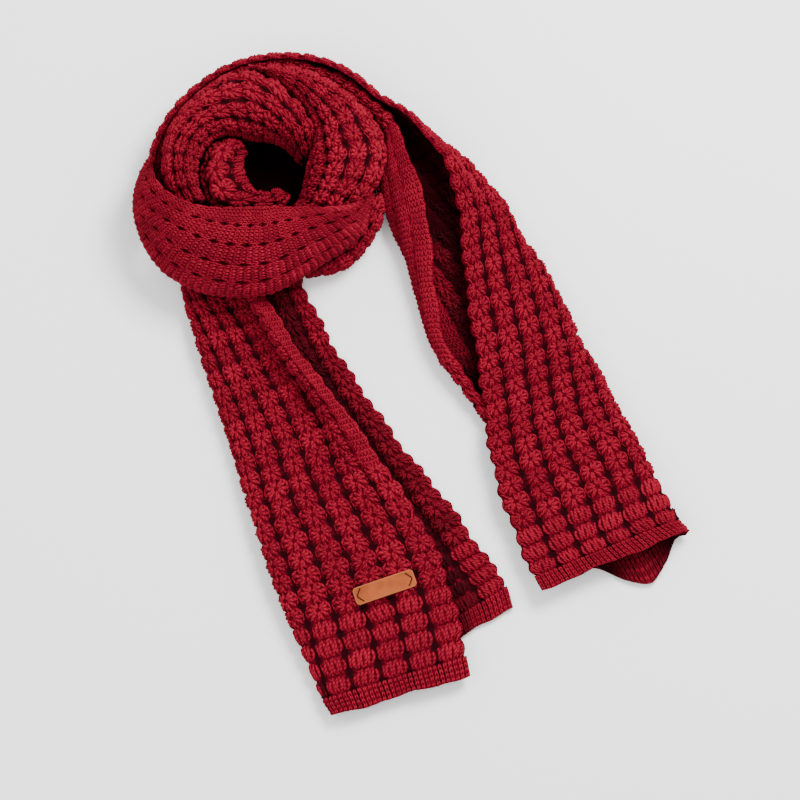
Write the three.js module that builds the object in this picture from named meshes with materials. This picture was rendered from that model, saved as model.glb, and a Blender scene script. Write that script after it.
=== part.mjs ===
// A long chunky knit scarf, laid on a table as it is taken off the neck: one round loop with two tails.
// Millimetres, +Z up, the table at z = 0. The cloth is a wall whose outer points are raised into ribs.
import * as THREE from "three";

// The scarf as it is knitted.
const RIB_PITCH = 26; // across the cloth, from one rib of bobbles to the next
const RIBS_ACROSS = 13;
const RIB_HEIGHT = 4; // how far a rib stands up from its grooves
const WALL = 3; // the cloth in a groove
const HEM_LENGTH = 19;
const HEM_RIB_PITCH = 4.6;
const HEM_RIB_HEIGHT = 1.4;
const HEM_SUNK = 1.5; // how far a hem's grooves lie below the rib tops of the cloth
const SEAM = 0.3; // the clear space between two pieces
const HEM_SEAM = 1.1; // the same where the fine ribs of a hem meet the broad ones round a fold
const RIM_SEAM = 1.5; // and where the rim turns over into the right tail
const THICKNESS = RIB_HEIGHT + WALL;
const RESTING = 2.5; // cloth that faces down and is lower than this lies flat on the table

// How finely the cloth is divided.
const COLUMNS_PER_RIB = 4;
const FINE_COLUMNS = 300; // for the direction across the cloth
const TAIL_STATION = 21;
const LOOP_STATION = 17;

// The loop's middle, and the shift that puts the whole scarf's box over the origin.
const LOOP_CENTRE = { x: -142, y: 194 };
const TO_ORIGIN = { x: 1.4, y: 3 };

const RED = { color: 0x9c1024, roughness: 0.95, metalness: 0 };
const DEEP_RED = { color: 0x6d0a18, roughness: 1, metalness: 0 };
const TAN_LEATHER = { color: 0xb9683a, roughness: 0.6, metalness: 0 };

// The left tail, from under the loop to its hem. It is folded along its left side, and the under leaf
// is splayed out to the right. ridgeAt is the pleat's place from the top leaf's edge to the fold.
const LEFT_TAIL = [
  { fold: [-223, 104], edge: [-156, 114], under: [-113, 112], loft: 21, ridgeAt: 0.4, rise: 0, dip: 0 },
  { fold: [-217, 74], edge: [-143, 92], under: [-103, 92], loft: 22, ridgeAt: 0.42, rise: 2, dip: 1 },
  { fold: [-207, 36], edge: [-125, 60], under: [-88, 60], loft: 23, ridgeAt: 0.4, rise: 7, dip: 3 },
  { fold: [-192, -7], edge: [-104, 26], under: [-71, 28], loft: 23, ridgeAt: 0.33, rise: 10, dip: 4 },
  { fold: [-171, -70], edge: [-63, -27], under: [-39, -20], loft: 23, ridgeAt: 0.2, rise: 8, dip: 3 },
  { fold: [-155, -128], edge: [-26, -80], under: [-5, -68], loft: 23, ridgeAt: 0.18, rise: 4, dip: 1 },
  { fold: [-133, -197], edge: [19, -152], under: [34, -116], loft: 23, ridgeAt: 0.2, rise: 1, dip: 0 },
  { fold: [-107, -255], edge: [40, -211], under: [66, -162], loft: 22, ridgeAt: 0.3, rise: 0, dip: 1 },
  { fold: [-85, -304], edge: [52, -263], under: [90, -196], loft: 20, ridgeAt: 0.4, rise: 1, dip: 1 },
  { fold: [-75, -321], edge: [56, -283], under: [96, -216], loft: 19, ridgeAt: 0.4, rise: 1, dip: 1 },
];

// The cloth of the rim and the right tail in one run. Its heights are foldUp at the fold, edgeUp at the
// top leaf's edge, crown between them, hipUp at the turn under the other side and flapUp at its edge.
// Round the back it stands on its fold as a rim. Here the places are distances from the loop's middle.
const RIM = [
  { bearing: 188, fold: 101, edge: 97, hip: 84, flap: 88,
    foldUp: 8, edgeUp: 34, crown: 22, hipUp: 8, flapUp: 32 },
  { bearing: 176, fold: 105, edge: 101, hip: 88, flap: 91,
    foldUp: 8, edgeUp: 41, crown: 26, hipUp: 8, flapUp: 37 },
  { bearing: 160, fold: 109, edge: 105, hip: 91, flap: 95,
    foldUp: 9, edgeUp: 46, crown: 28, hipUp: 9, flapUp: 41 },
  { bearing: 141, fold: 109, edge: 105, hip: 91, flap: 95,
    foldUp: 9, edgeUp: 48, crown: 29, hipUp: 9, flapUp: 42 },
  { bearing: 120, fold: 110, edge: 106, hip: 91, flap: 96,
    foldUp: 9, edgeUp: 49, crown: 29, hipUp: 9, flapUp: 42 },
  { bearing: 99, fold: 116, edge: 111, hip: 91, flap: 101,
    foldUp: 9, edgeUp: 49, crown: 29, hipUp: 9, flapUp: 43 },
  { bearing: 78, fold: 125, edge: 118, hip: 97, flap: 109,
    foldUp: 9, edgeUp: 48, crown: 29, hipUp: 9, flapUp: 43 },
  { bearing: 60, fold: 132, edge: 126, hip: 101, flap: 116,
    foldUp: 9, edgeUp: 48, crown: 29, hipUp: 10, flapUp: 43 },
  { bearing: 46, fold: 137, edge: 131, hip: 105, flap: 121,
    foldUp: 9, edgeUp: 48, crown: 30, hipUp: 11, flapUp: 43 },
  { bearing: 34, fold: 141, edge: 136, hip: 111, flap: 127,
    foldUp: 9, edgeUp: 48, crown: 31, hipUp: 13, flapUp: 44 },
];
const RIM_RIBS = 6;

// Then it lies down as the right tail: top leaf, fold at the right, under leaf, and at the left a flap
// which tucks in between the leaves lower down. At the hem a corner of the under leaf peeks out.
const RIGHT_TAIL = [
  { fold: [4, 251], edge: [-2, 254], hip: [-29, 235], flap: [-18, 243],
    foldUp: 9, edgeUp: 49, crown: 32, hipUp: 15, flapUp: 44 },
  { fold: [30, 233], edge: [19, 231], hip: [-22, 206], flap: [-5, 222],
    foldUp: 10, edgeUp: 47, crown: 35, hipUp: 16, flapUp: 45 },
  { fold: [60, 209], edge: [37, 200], hip: [-20, 175], flap: [8, 195],
    foldUp: 10, edgeUp: 43, crown: 38, hipUp: 15, flapUp: 42 },
  { fold: [91, 172], edge: [47, 150], hip: [-13, 142], flap: [19, 149],
    foldUp: 11, edgeUp: 35, crown: 33, hipUp: 14, flapUp: 38 },
  { fold: [126, 114], edge: [53, 84], hip: [1, 86], flap: [22, 88],
    foldUp: 12, edgeUp: 29, crown: 29, hipUp: 12, flapUp: 34 },
  { fold: [156, 56], edge: [63, 16], hip: [17, 32], flap: [33, 31],
    foldUp: 13, edgeUp: 25, crown: 27, hipUp: 11, flapUp: 29 },
  { fold: [180, 10], edge: [70, -35], hip: [50, -18], flap: [68, -20],
    foldUp: 13, edgeUp: 27, crown: 29, hipUp: 11, flapUp: 20 },
  { fold: [198, -24], edge: [75, -76], hip: [85, -68], flap: [113, -61],
    foldUp: 13, edgeUp: 28, crown: 30, hipUp: 11, flapUp: 20 },
  { fold: [224, -70], edge: [89, -126], hip: [113, -116], flap: [152, -99],
    foldUp: 13, edgeUp: 28, crown: 29, hipUp: 11, flapUp: 20 },
  { fold: [252, -128], edge: [113, -184], hip: [147, -168], flap: [187, -151],
    foldUp: 13, edgeUp: 27, crown: 28, hipUp: 11, flapUp: 20 },
  { fold: [264, -145], edge: [123, -203], hip: [163, -184], flap: [202, -168],
    foldUp: 13, edgeUp: 27, crown: 28, hipUp: 11, flapUp: 20, peek: [231, -197] },
];

// Round the loop every place is [radius, height] at a bearing in degrees, 0 at the right, 90 at the back.
// The band stretched across the front, from its tip at the left to the lower right.
const FRONT_BAND = [
  { bearing: 171, edge: [107, 54], top: [110, 57], brow: [114, 50], side: [116, 32], foot: [113, 8] },
  { bearing: 181, edge: [101, 66], top: [106, 69], brow: [114, 61], side: [120, 36], foot: [115, 5] },
  { bearing: 190, edge: [95, 76], top: [103, 78], brow: [115, 67], side: [125, 38], foot: [119, 5] },
  { bearing: 200, edge: [84, 80], top: [96, 83], brow: [114, 71], side: [130, 39], foot: [123, 7] },
  { bearing: 212, edge: [70, 82], top: [88, 86], brow: [112, 74], side: [134, 42], foot: [128, 25] },
  { bearing: 225, edge: [56, 83], top: [80, 87], brow: [109, 75], side: [135, 44], foot: [130, 25] },
  { bearing: 240, edge: [46, 83], top: [74, 87], brow: [105, 75], side: [131, 45], foot: [127, 24.5] },
  { bearing: 258, edge: [40, 83], top: [69, 87], brow: [100, 75], side: [124, 46], foot: [121, 24.5] },
  { bearing: 275, edge: [39, 83], top: [67, 87], brow: [96, 75], side: [118, 47], foot: [115, 26.5] },
  { bearing: 290, edge: [41, 83], top: [67, 86], brow: [92, 76], side: [111, 50], foot: [108, 32] },
  { bearing: 303, edge: [47, 82], top: [69, 86], brow: [92, 76], side: [108, 54], foot: [106, 37] },
  { bearing: 316, edge: [57, 82], top: [77, 84], brow: [97, 76], side: [111, 56], foot: [109, 41] },
  { bearing: 328, edge: [74, 80], top: [88, 82], brow: [103, 75], side: [115, 58], foot: [114, 44] },
  { bearing: 340, edge: [95, 74], top: [103, 76], brow: [111, 71], side: [119, 57], foot: [118, 45] },
  { bearing: 351, edge: [110, 66], top: [114, 67], brow: [118, 62], side: [121, 53], foot: [121, 45] },
];
const BAND_RIBS = 6;

// The turn over the left and the back, which spirals into the middle at its right end.
const BACK_TURN = [
  { bearing: 209, foot: [62, 40], lip: [60, 56], crest: [70, 64], shoulder: [82, 59], edge: [88, 46] },
  { bearing: 198, foot: [64, 40], lip: [61, 62], crest: [73, 71], shoulder: [86, 65], edge: [91, 50] },
  { bearing: 188, foot: [64, 42], lip: [60, 66], crest: [74, 79], shoulder: [89, 71], edge: [94, 53] },
  { bearing: 175, foot: [62, 42], lip: [59, 66], crest: [74, 82], shoulder: [90, 74], edge: [96, 54] },
  { bearing: 160, foot: [59, 38], lip: [56, 64], crest: [72, 83], shoulder: [91, 74], edge: [97, 52] },
  { bearing: 142, foot: [55, 30], lip: [51, 62], crest: [67, 83], shoulder: [90, 74], edge: [97, 51] },
  { bearing: 124, foot: [46, 16], lip: [41, 59], crest: [63, 83], shoulder: [88, 75], edge: [97, 52] },
  { bearing: 110, foot: [38, 9], lip: [33, 56], crest: [60, 82], shoulder: [86, 75], edge: [97, 52] },
  { bearing: 97, foot: [36, 9], lip: [30, 54], crest: [57, 83], shoulder: [82, 77], edge: [94, 56] },
  { bearing: 84, foot: [36, 9], lip: [30, 52], crest: [54, 82], shoulder: [74, 79], edge: [84, 62] },
  { bearing: 70, foot: [36, 9], lip: [30, 50], crest: [51, 81], shoulder: [65, 79], edge: [73, 66] },
  { bearing: 56, foot: [37, 9], lip: [31, 47], crest: [47, 78], shoulder: [58, 77], edge: [66, 65] },
  { bearing: 42, foot: [38, 9], lip: [32, 43], crest: [44, 73], shoulder: [53, 73], edge: [61, 61] },
  { bearing: 28, foot: [37, 9], lip: [33, 36], crest: [40, 61], shoulder: [46, 61], edge: [52, 50] },
  { bearing: 17, foot: [36, 9], lip: [33, 28], crest: [36, 46], shoulder: [39, 46], edge: [43, 38] },
];
const BACK_RIBS = 6;

// The turn up the right, from behind the band's top edge to the back, where it runs out beside the rim.
const RIGHT_TURN = [
  { bearing: -47, well: [46, 9], lip: [44, 40], crest: [62, 60],
    shoulder: [78, 52], side: [86, 34], foot: [84, 10] },
  { bearing: -33, well: [46, 9], lip: [44, 44], crest: [66, 68],
    shoulder: [83, 60], side: [92, 38], foot: [89, 6] },
  { bearing: -20, well: [45, 9], lip: [43, 50], crest: [70, 75],
    shoulder: [91, 64], side: [100, 42], foot: [97, 6] },
  { bearing: -6, well: [46, 9], lip: [43, 53], crest: [74, 80],
    shoulder: [101, 69], side: [111, 46], foot: [108, 6] },
  { bearing: 8, well: [48, 9], lip: [45, 55], crest: [77, 82],
    shoulder: [108, 71], side: [120, 46], foot: [116, 6] },
  { bearing: 22, well: [54, 9], lip: [52, 57], crest: [79, 82],
    shoulder: [110, 71], side: [120, 46], foot: [115, 16] },
  { bearing: 36, well: [63, 18], lip: [61, 58], crest: [81, 81],
    shoulder: [106, 72], side: [114, 48], foot: [109, 22] },
  { bearing: 50, well: [69, 30], lip: [67, 61], crest: [82, 80],
    shoulder: [102, 73], side: [109, 52], foot: [106, 34] },
  { bearing: 64, well: [75, 44], lip: [73, 64], crest: [85, 80],
    shoulder: [100, 73], side: [106, 55], foot: [104, 43] },
  { bearing: 77, well: [83, 50], lip: [81, 66], crest: [89, 78],
    shoulder: [98, 71], side: [103, 56], foot: [102, 46] },
  { bearing: 89, well: [91, 54], lip: [90, 66], crest: [94, 73],
    shoulder: [98, 68], side: [101, 58], foot: [101, 52] },
  { bearing: 98, well: [98, 58], lip: [97, 63], crest: [99, 66],
    shoulder: [100, 64], side: [101, 59], foot: [101, 56] },
];
const RIGHT_PLACES = ["well", "lip", "crest", "shoulder", "side", "foot"];
const RIGHT_RIBS = 8;

// The roll at the left of the middle, which comes from inside the back turn and ends as a lump.
const INNER_ROLL = [
  { bearing: 121, outer: [38, 26], shoulder: [36, 42], crest: [32, 47], lip: [26, 42], foot: [27, 8.6] },
  { bearing: 137, outer: [44, 28], shoulder: [42, 50], crest: [35, 58], lip: [23, 50], foot: [25, 8.6] },
  { bearing: 156, outer: [49, 32], shoulder: [47, 58], crest: [37, 67], lip: [20, 57], foot: [23, 8.6] },
  { bearing: 175, outer: [52, 32], shoulder: [50, 61], crest: [37, 71], lip: [17, 59], foot: [20, 8.6] },
  { bearing: 195, outer: [54, 32], shoulder: [52, 61], crest: [37, 71], lip: [16, 59], foot: [19, 8.6] },
  { bearing: 213, outer: [54, 32], shoulder: [51, 60], crest: [36, 69], lip: [16, 57], foot: [19, 8.6] },
  { bearing: 232, outer: [50, 30], shoulder: [47, 56], crest: [34, 64], lip: [17, 55], foot: [20, 8.6] },
  { bearing: 252, outer: [43, 28], shoulder: [40, 51], crest: [31, 58], lip: [19, 50], foot: [22, 8.6] },
  { bearing: 274, outer: [39, 26], shoulder: [37, 48], crest: [30, 55], lip: [20, 47], foot: [22, 8.6] },
  { bearing: 294, outer: [39, 24], shoulder: [37, 46], crest: [30, 52], lip: [20, 44], foot: [22, 8.6] },
  { bearing: 312, outer: [37, 22], shoulder: [35, 41], crest: [29, 47], lip: [21, 41], foot: [23, 8.6] },
  { bearing: 326, outer: [36, 20], shoulder: [34, 33], crest: [30, 38], lip: [25, 33], foot: [26, 8.6] },
];
const INNER_RIBS = 4;

// The slack fold that shows below the band at the lower right.
const LOWER_FOLD = [
  { bearing: 293, edge: [88, 27], top: [97, 29], side: [106, 17], foot: [103, 4] },
  { bearing: 302, edge: [90, 34.4], top: [102, 35.4], side: [113, 20], foot: [109, 2] },
  { bearing: 313, edge: [94, 39.4], top: [108, 39.4], side: [121, 21], foot: [116, 2] },
  { bearing: 325, edge: [99, 41.4], top: [112, 41.4], side: [123, 22], foot: [118, 2] },
  { bearing: 338, edge: [104, 42.4], top: [115, 42.4], side: [124, 23], foot: [119, 2] },
  { bearing: 350, edge: [111, 40], top: [116, 40], side: [121, 23], foot: [117, 2] },
];
const LOWER_RIBS = 3;

// The hidden layers in the middle of the loop are one rounded solid with a closed floor under the well.
const CORE_FLOOR = 8;
const CORE = [
  { bearing: 0, outer: [98, 34], shoulder: [92, 56], top: [79, 70], lip: [64, 50] },
  { bearing: 20, outer: [104, 34], shoulder: [98, 57], top: [86, 71], lip: [76, 52] },
  { bearing: 41, outer: [99, 10], shoulder: [97, 14], top: [92, 13], lip: [86, 10] },
  { bearing: 50, outer: [92, 9], shoulder: [84, 16], top: [60, 30], lip: [50, 24] },
  { bearing: 61, outer: [86, 24], shoulder: [73, 38], top: [56, 56], lip: [47, 42] },
  { bearing: 80, outer: [89, 34], shoulder: [79, 52], top: [57, 71], lip: [46, 44] },
  { bearing: 100, outer: [88, 38], shoulder: [80, 60], top: [60, 74], lip: [47, 48] },
  { bearing: 124, outer: [84, 40], shoulder: [80, 64], top: [66, 73], lip: [57, 50] },
  { bearing: 142, outer: [83, 40], shoulder: [81, 64], top: [72, 73], lip: [66, 50] },
  { bearing: 160, outer: [82, 36], shoulder: [81, 62], top: [76, 72], lip: [69, 50] },
  { bearing: 190, outer: [78, 34], shoulder: [80, 48], top: [77, 56], lip: [74, 44] },
  { bearing: 206, outer: [76, 32], shoulder: [78, 40], top: [74, 46], lip: [71, 36] },
  { bearing: 225, outer: [78, 40], shoulder: [87, 63], top: [78, 73], lip: [66, 50] },
  { bearing: 250, outer: [78, 40], shoulder: [88, 65], top: [69, 77], lip: [54, 50] },
  { bearing: 280, outer: [78, 40], shoulder: [83, 65], top: [65, 77], lip: [52, 46] },
  { bearing: 310, outer: [72, 30], shoulder: [70, 40], top: [64, 46], lip: [58, 30] },
  { bearing: 335, outer: [84, 30], shoulder: [80, 48], top: [72, 60], lip: [60, 40] },
];
const CORE_STATIONS = 36;

// The leather tag, sewn level with the hem on the left tail.
const TAG = { x: -25, y: -200, turn: 19, length: 60, width: 17, corner: 3.5, thickness: 2 };

const place = ([x, y], z) => new THREE.Vector3(x + TO_ORIGIN.x, y + TO_ORIGIN.y, z);

// The place at a bearing and a distance round the loop's middle.
function aroundLoop(bearing, radius) {
  const angle = THREE.MathUtils.degToRad(bearing);
  return [LOOP_CENTRE.x + radius * Math.cos(angle), LOOP_CENTRE.y + radius * Math.sin(angle)];
}

const roundLoop = (bearing, [radius, height]) => place(aroundLoop(bearing, radius), height);

// Sections of a stretch of the loop, through the named places of each row.
function loopSections(table, names) {
  return table.map((row) => names.map((name) => roundLoop(row.bearing, row[name])));
}

const smooth = (points) => new THREE.CatmullRomCurve3(points, false, "centripetal");

// The place a share of the way between two, and the place a distance from one towards the other.
const between = (from, to, share) => from.map((value, i) => value + (to[i] - value) * share);
const distanceOf = (from, to) => Math.hypot(to[0] - from[0], to[1] - from[1]);
const toward = (from, to, distance) => between(from, to, distance / distanceOf(from, to));

// The left tail's section: top leaf from its edge over the pleat to the fold, then the under leaf.
function leftTailSection({ fold, edge, under, loft, ridgeAt, rise, dip }) {
  const bend = loft / 2;
  return [
    place(edge, loft - 1 + rise * 0.2),
    place(between(edge, fold, ridgeAt * 0.5), loft + rise * 0.55),
    place(between(edge, fold, ridgeAt), loft + rise),
    place(between(edge, fold, ridgeAt + 0.2), loft - dip),
    place(between(edge, fold, 0.5 + ridgeAt * 0.5), loft - dip * 0.3),
    place(toward(fold, edge, bend), loft),
    place(toward(fold, edge, bend * 0.25), bend * 1.66),
    place(fold, bend),
    place(toward(fold, under, bend * 0.25), bend * 0.34),
    place(toward(fold, under, bend), 0),
    place(between(fold, under, 0.5), 0),
    place(under, 0),
  ];
}

// The right tail's section: top leaf from its edge to the fold, under leaf to the hip, and the flap.
function rightTailSection({ fold, edge, hip, flap, foldUp, edgeUp, crown, hipUp, flapUp, peek }) {
  const turn = Math.min(hipUp, 0.4 * distanceOf(hip, flap));
  const bend = Math.min(foldUp, 0.4 * distanceOf(fold, edge));
  return [
    place(edge, edgeUp),
    place(between(edge, fold, 0.45), crown),
    place(toward(fold, edge, bend), foldUp * 2),
    place(fold, foldUp),
    place(toward(fold, hip, foldUp), 0),
    place(peek ?? between(fold, hip, 0.45), 0),
    place(toward(hip, fold, hipUp), 0),
    place(hip, hipUp),
    place(toward(hip, flap, turn), hipUp + (flapUp - hipUp) * 0.9),
    place(flap, flapUp),
  ];
}

// A grid over the sections: evenly spaced across each, and at the given shares of the length.
function loft(sections, columns, shares) {
  const split = Math.max(1, Math.round(FINE_COLUMNS / columns));
  const rows = sections.map((points) => smooth(points).getSpacedPoints(columns * split));
  const middle = middleOf(sections);
  const times = shares.map((share) => middle.getUtoTmapping(share));
  const lines = rows[0].map((_, column) => smooth(rows.map((row) => row[column])));
  const kept = Array.from({ length: columns + 1 }, (_, column) => column * split);
  const beside = (column, step) => lines[Math.min(Math.max(column + step, 0), lines.length - 1)];
  return {
    points: times.map((time) => kept.map((column) => lines[column].getPoint(time))),
    ahead: times.map((time) => kept.map((column) => lines[column].getTangent(time))),
    across: times.map((time) =>
      kept.map((column) => beside(column, 1).getPoint(time).sub(beside(column, -1).getPoint(time))),
    ),
  };
}

// The middle line through the sections.
function middleOf(sections) {
  const mean = (points) => {
    const sum = points.reduce((total, point) => total.add(point), new THREE.Vector3());
    return sum.divideScalar(points.length);
  };
  return smooth(sections.map((points) => mean(smooth(points).getSpacedPoints(FINE_COLUMNS))));
}

const lengthOf = (sections) => middleOf(sections).getLength();

// The share of the length that lies before the section of the given number.
function shareAt(sections, number) {
  const lengths = middleOf(sections).getLengths(FINE_COLUMNS);
  return lengths[Math.round((FINE_COLUMNS * number) / (sections.length - 1))] / lengths[FINE_COLUMNS];
}

// Unit normals of a grid, on the side given by facing, which is 1 or -1.
function normalsOf({ ahead, across }, facing) {
  return across.map((row, i) =>
    row.map((side, j) => side.clone().cross(ahead[i][j]).normalize().multiplyScalar(facing)),
  );
}

// A rib's height at a share of the way over it, 0 in the groove and 1 at the top.
const ribShape = (share) => Math.pow(Math.abs(Math.sin(Math.PI * share)), 0.8);

// A closed mesh from vertices and triangles, turned so that its faces point out.
function closedMesh(vertices, triangles) {
  let volume = 0;
  for (const [a, b, c] of triangles) {
    volume += vertices[a].dot(vertices[b].clone().cross(vertices[c]));
  }
  const index = triangles.flatMap(([a, b, c]) => (volume > 0 ? [a, b, c] : [a, c, b]));
  const geometry = new THREE.BufferGeometry();
  const numbers = vertices.flatMap((vertex) => vertex.toArray());
  geometry.setAttribute("position", new THREE.Float32BufferAttribute(numbers, 3));
  geometry.setIndex(index);
  geometry.computeVertexNormals();
  return geometry;
}

// Triangles between two lines of vertices whose places along them are given as shares.
function zip(first, firstAt, second, secondAt) {
  const triangles = [];
  let i = 0;
  let j = 0;
  while (i < first.length - 1 || j < second.length - 1) {
    const secondDone = j === second.length - 1;
    if (secondDone || (i < first.length - 1 && firstAt[i + 1] <= secondAt[j + 1])) {
      triangles.push([first[i], first[i + 1], second[j]]);
      i += 1;
    } else {
      triangles.push([first[i], second[j + 1], second[j]]);
      j += 1;
    }
  }
  return triangles;
}

// A wall between an outer and an inner skin, which have the same rows and may differ in columns.
function wallMesh(outer, inner, outerAt, innerAt) {
  const vertices = [...outer.flat(), ...inner.flat()];
  const start = outer.flat().length;
  const outerLine = (i) => outerAt.map((_, j) => i * outerAt.length + j);
  const innerLine = (i) => innerAt.map((_, j) => start + i * innerAt.length + j);
  const triangles = [];
  const reversed = ([a, b, c]) => [a, c, b];
  for (let i = 0; i < outer.length - 1; i += 1) {
    triangles.push(...zip(outerLine(i), outerAt, outerLine(i + 1), outerAt));
    triangles.push(...zip(innerLine(i), innerAt, innerLine(i + 1), innerAt).map(reversed));
  }
  triangles.push(...zip(outerLine(0), outerAt, innerLine(0), innerAt).map(reversed));
  triangles.push(...zip(outerLine(outer.length - 1), outerAt, innerLine(outer.length - 1), innerAt));
  const rows = outer.map((_, i) => i);
  const side = (line, j) => rows.map((i) => line(i).at(j));
  triangles.push(...zip(side(outerLine, 0), rows, side(innerLine, 0), rows));
  triangles.push(...zip(side(outerLine, -1), rows, side(innerLine, -1), rows).map(reversed));
  return closedMesh(vertices, triangles);
}

// Where the cloth lies flat on the table its face is plain, and this is 1 there.
function restsFlat(point, normal) {
  return point.z < RESTING ? THREE.MathUtils.smoothstep(-normal.z, 0.5, 0.85) : 0;
}

// A stretch of ribbed cloth whose rib tops follow the sections.
function ribbedWall(sections, { ribs, facing, shares, fineParts = [] }) {
  const columns = ribs * COLUMNS_PER_RIB;
  const surface = loft(sections, columns, shares);
  const grid = surface.points;
  const normals = normalsOf(surface, facing);
  const at = grid[0].map((_, j) => j / columns);
  const isInner = (j) => j % 2 === 0 || fineParts.some(([from, to]) => at[j] > from && at[j] < to);
  const kept = at.map((_, j) => j).filter(isInner);
  const outer = grid.map((row, i) =>
    row.map((point, j) => {
      const normal = normals[i][j];
      const flat = restsFlat(point, normal);
      const rib = THREE.MathUtils.lerp(ribShape(at[j] * ribs), 1, flat);
      const moved = point.clone().addScaledVector(normal, -RIB_HEIGHT * (1 - rib));
      moved.z = flat > 0.5 ? 0 : Math.max(moved.z, 0);
      return moved;
    }),
  );
  const inner = grid.map((row, i) =>
    kept.map((j) => {
      const flat = restsFlat(row[j], normals[i][j]);
      const depth = THREE.MathUtils.lerp(THICKNESS, WALL + RIB_HEIGHT * ribShape(at[j] * ribs), flat);
      const moved = row[j].clone().addScaledVector(normals[i][j], -depth);
      moved.z = Math.max(moved.z, WALL);
      return moved;
    }),
  );
  return wallMesh(outer, inner, at, kept.map((j) => at[j]));
}

// A hem in fine ribs, one stitch wide, over the last part of a tail.
function hemWall(sections, { facing, shares }) {
  const columns = Math.round((RIBS_ACROSS * RIB_PITCH) / HEM_RIB_PITCH) * 2;
  const surface = loft(sections, columns, shares);
  const grid = surface.points;
  const normals = normalsOf(surface, facing);
  const at = grid[0].map((_, j) => j / columns);
  const kept = at.map((_, j) => j).filter((j) => j % 2 === 0);
  const outer = grid.map((row, i) =>
    row.map((point, j) => {
      const flat = restsFlat(point, normals[i][j]);
      const sunk = THREE.MathUtils.lerp(RIB_HEIGHT - HEM_SUNK + (j % 2) * HEM_RIB_HEIGHT, 0, flat);
      const moved = point.clone().addScaledVector(normals[i][j], -sunk);
      moved.z = flat > 0.5 ? 0 : Math.max(moved.z, 0);
      return moved;
    }),
  );
  const inner = grid.map((row, i) =>
    kept.map((j) => {
      const depth = THREE.MathUtils.lerp(THICKNESS, WALL + 1, restsFlat(row[j], normals[i][j]));
      const moved = row[j].clone().addScaledVector(normals[i][j], -depth);
      moved.z = Math.max(moved.z, WALL);
      return moved;
    }),
  );
  return wallMesh(outer, inner, at, kept.map((j) => at[j]));
}

// Shares of a length from one place to another, about a step apart.
function sharesOf(length, from, to, step) {
  const count = Math.max(1, Math.round((to - from) / step));
  const shareOf = (i) => (from + ((to - from) * i) / count) / length;
  return Array.from({ length: count + 1 }, (_, i) => Math.min(shareOf(i), 1));
}

// The rounded solid of hidden layers, a closed turn of sections from the floor's middle to the well's.
function coreMesh() {
  const names = ["outer", "shoulder", "top", "lip"];
  const turn = (name) =>
    new THREE.CatmullRomCurve3(CORE.map((row) => roundLoop(row.bearing, row[name])), true, "catmullrom", 0.5);
  const lines = names.map(turn);
  const centre = place([LOOP_CENTRE.x, LOOP_CENTRE.y], 0);
  const floor = new THREE.Vector3(centre.x, centre.y, CORE_FLOOR);
  const rings = Array.from({ length: CORE_STATIONS }, (_, i) => {
    const [outer, shoulder, top, lip] = lines.map((line) => line.getPoint(i / CORE_STATIONS));
    const inward = (point, share, z) => new THREE.Vector3().lerpVectors(centre, point, share).setZ(z);
    return [inward(outer, 0.95, 0), outer, shoulder, top, lip, inward(lip, 1.03, CORE_FLOOR)];
  });
  const perRing = rings[0].length;
  const vertices = [...rings.flat(), centre, floor];
  const triangles = [];
  for (let i = 0; i < CORE_STATIONS; i += 1) {
    const here = i * perRing;
    const next = ((i + 1) % CORE_STATIONS) * perRing;
    for (let j = 0; j < perRing - 1; j += 1) {
      triangles.push([here + j, next + j, next + j + 1], [here + j, next + j + 1, here + j + 1]);
    }
    triangles.push([vertices.length - 2, next, here]);
    triangles.push([vertices.length - 1, here + perRing - 1, next + perRing - 1]);
  }
  return closedMesh(vertices, triangles);
}

// Height of the rib tops over a place, from the nearest points of a fine grid.
function heightOver(grid, x, y) {
  const near = grid
    .flat()
    .map((point) => ({ z: point.z, distance: Math.hypot(point.x - x, point.y - y) + 0.01 }))
    .sort((a, b) => a.distance - b.distance)
    .slice(0, 4);
  const weight = near.reduce((sum, { distance }) => sum + 1 / distance, 0);
  return near.reduce((sum, { z, distance }) => sum + z / distance, 0) / weight;
}

// The tag: a rounded oblong whose points lie on the top leaf's rib tops, moved out.
function tagMesh(sections) {
  const topLeaf = sections.map((points) => points.slice(0, 7));
  const grid = loft(topLeaf, 60, sharesOf(1, 0.55, 1, 0.01)).points;
  const turn = THREE.MathUtils.degToRad(TAG.turn);
  const outline = [];
  const half = { length: TAG.length / 2 - TAG.corner, width: TAG.width / 2 - TAG.corner };
  for (const [signX, signY, from] of [[1, 1, 0], [-1, 1, 90], [-1, -1, 180], [1, -1, 270]]) {
    for (let step = 0; step <= 90; step += 22.5) {
      const angle = THREE.MathUtils.degToRad(from + step);
      const along = signX * half.length + TAG.corner * Math.cos(angle);
      outline.push([along, signY * half.width + TAG.corner * Math.sin(angle)]);
    }
  }
  const vertices = [];
  for (const raised of [SEAM, SEAM + TAG.thickness]) {
    for (const [along, across] of [[0, 0], ...outline]) {
      const x = TAG.x + TO_ORIGIN.x + along * Math.cos(turn) - across * Math.sin(turn);
      const y = TAG.y + TO_ORIGIN.y + along * Math.sin(turn) + across * Math.cos(turn);
      vertices.push(new THREE.Vector3(x, y, heightOver(grid, x, y) + raised));
    }
  }
  const layer = outline.length + 1;
  const triangles = [];
  outline.forEach((_, i) => {
    const a = 1 + i;
    const b = 1 + ((i + 1) % outline.length);
    triangles.push([0, b, a], [layer, layer + a, layer + b]);
    triangles.push([a, b, layer + b], [a, layer + b, layer + a]);
  });
  return closedMesh(vertices, triangles);
}

function named(name, geometry, finish) {
  const mesh = new THREE.Mesh(geometry, new THREE.MeshStandardMaterial(finish));
  mesh.name = name;
  return mesh;
}

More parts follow.
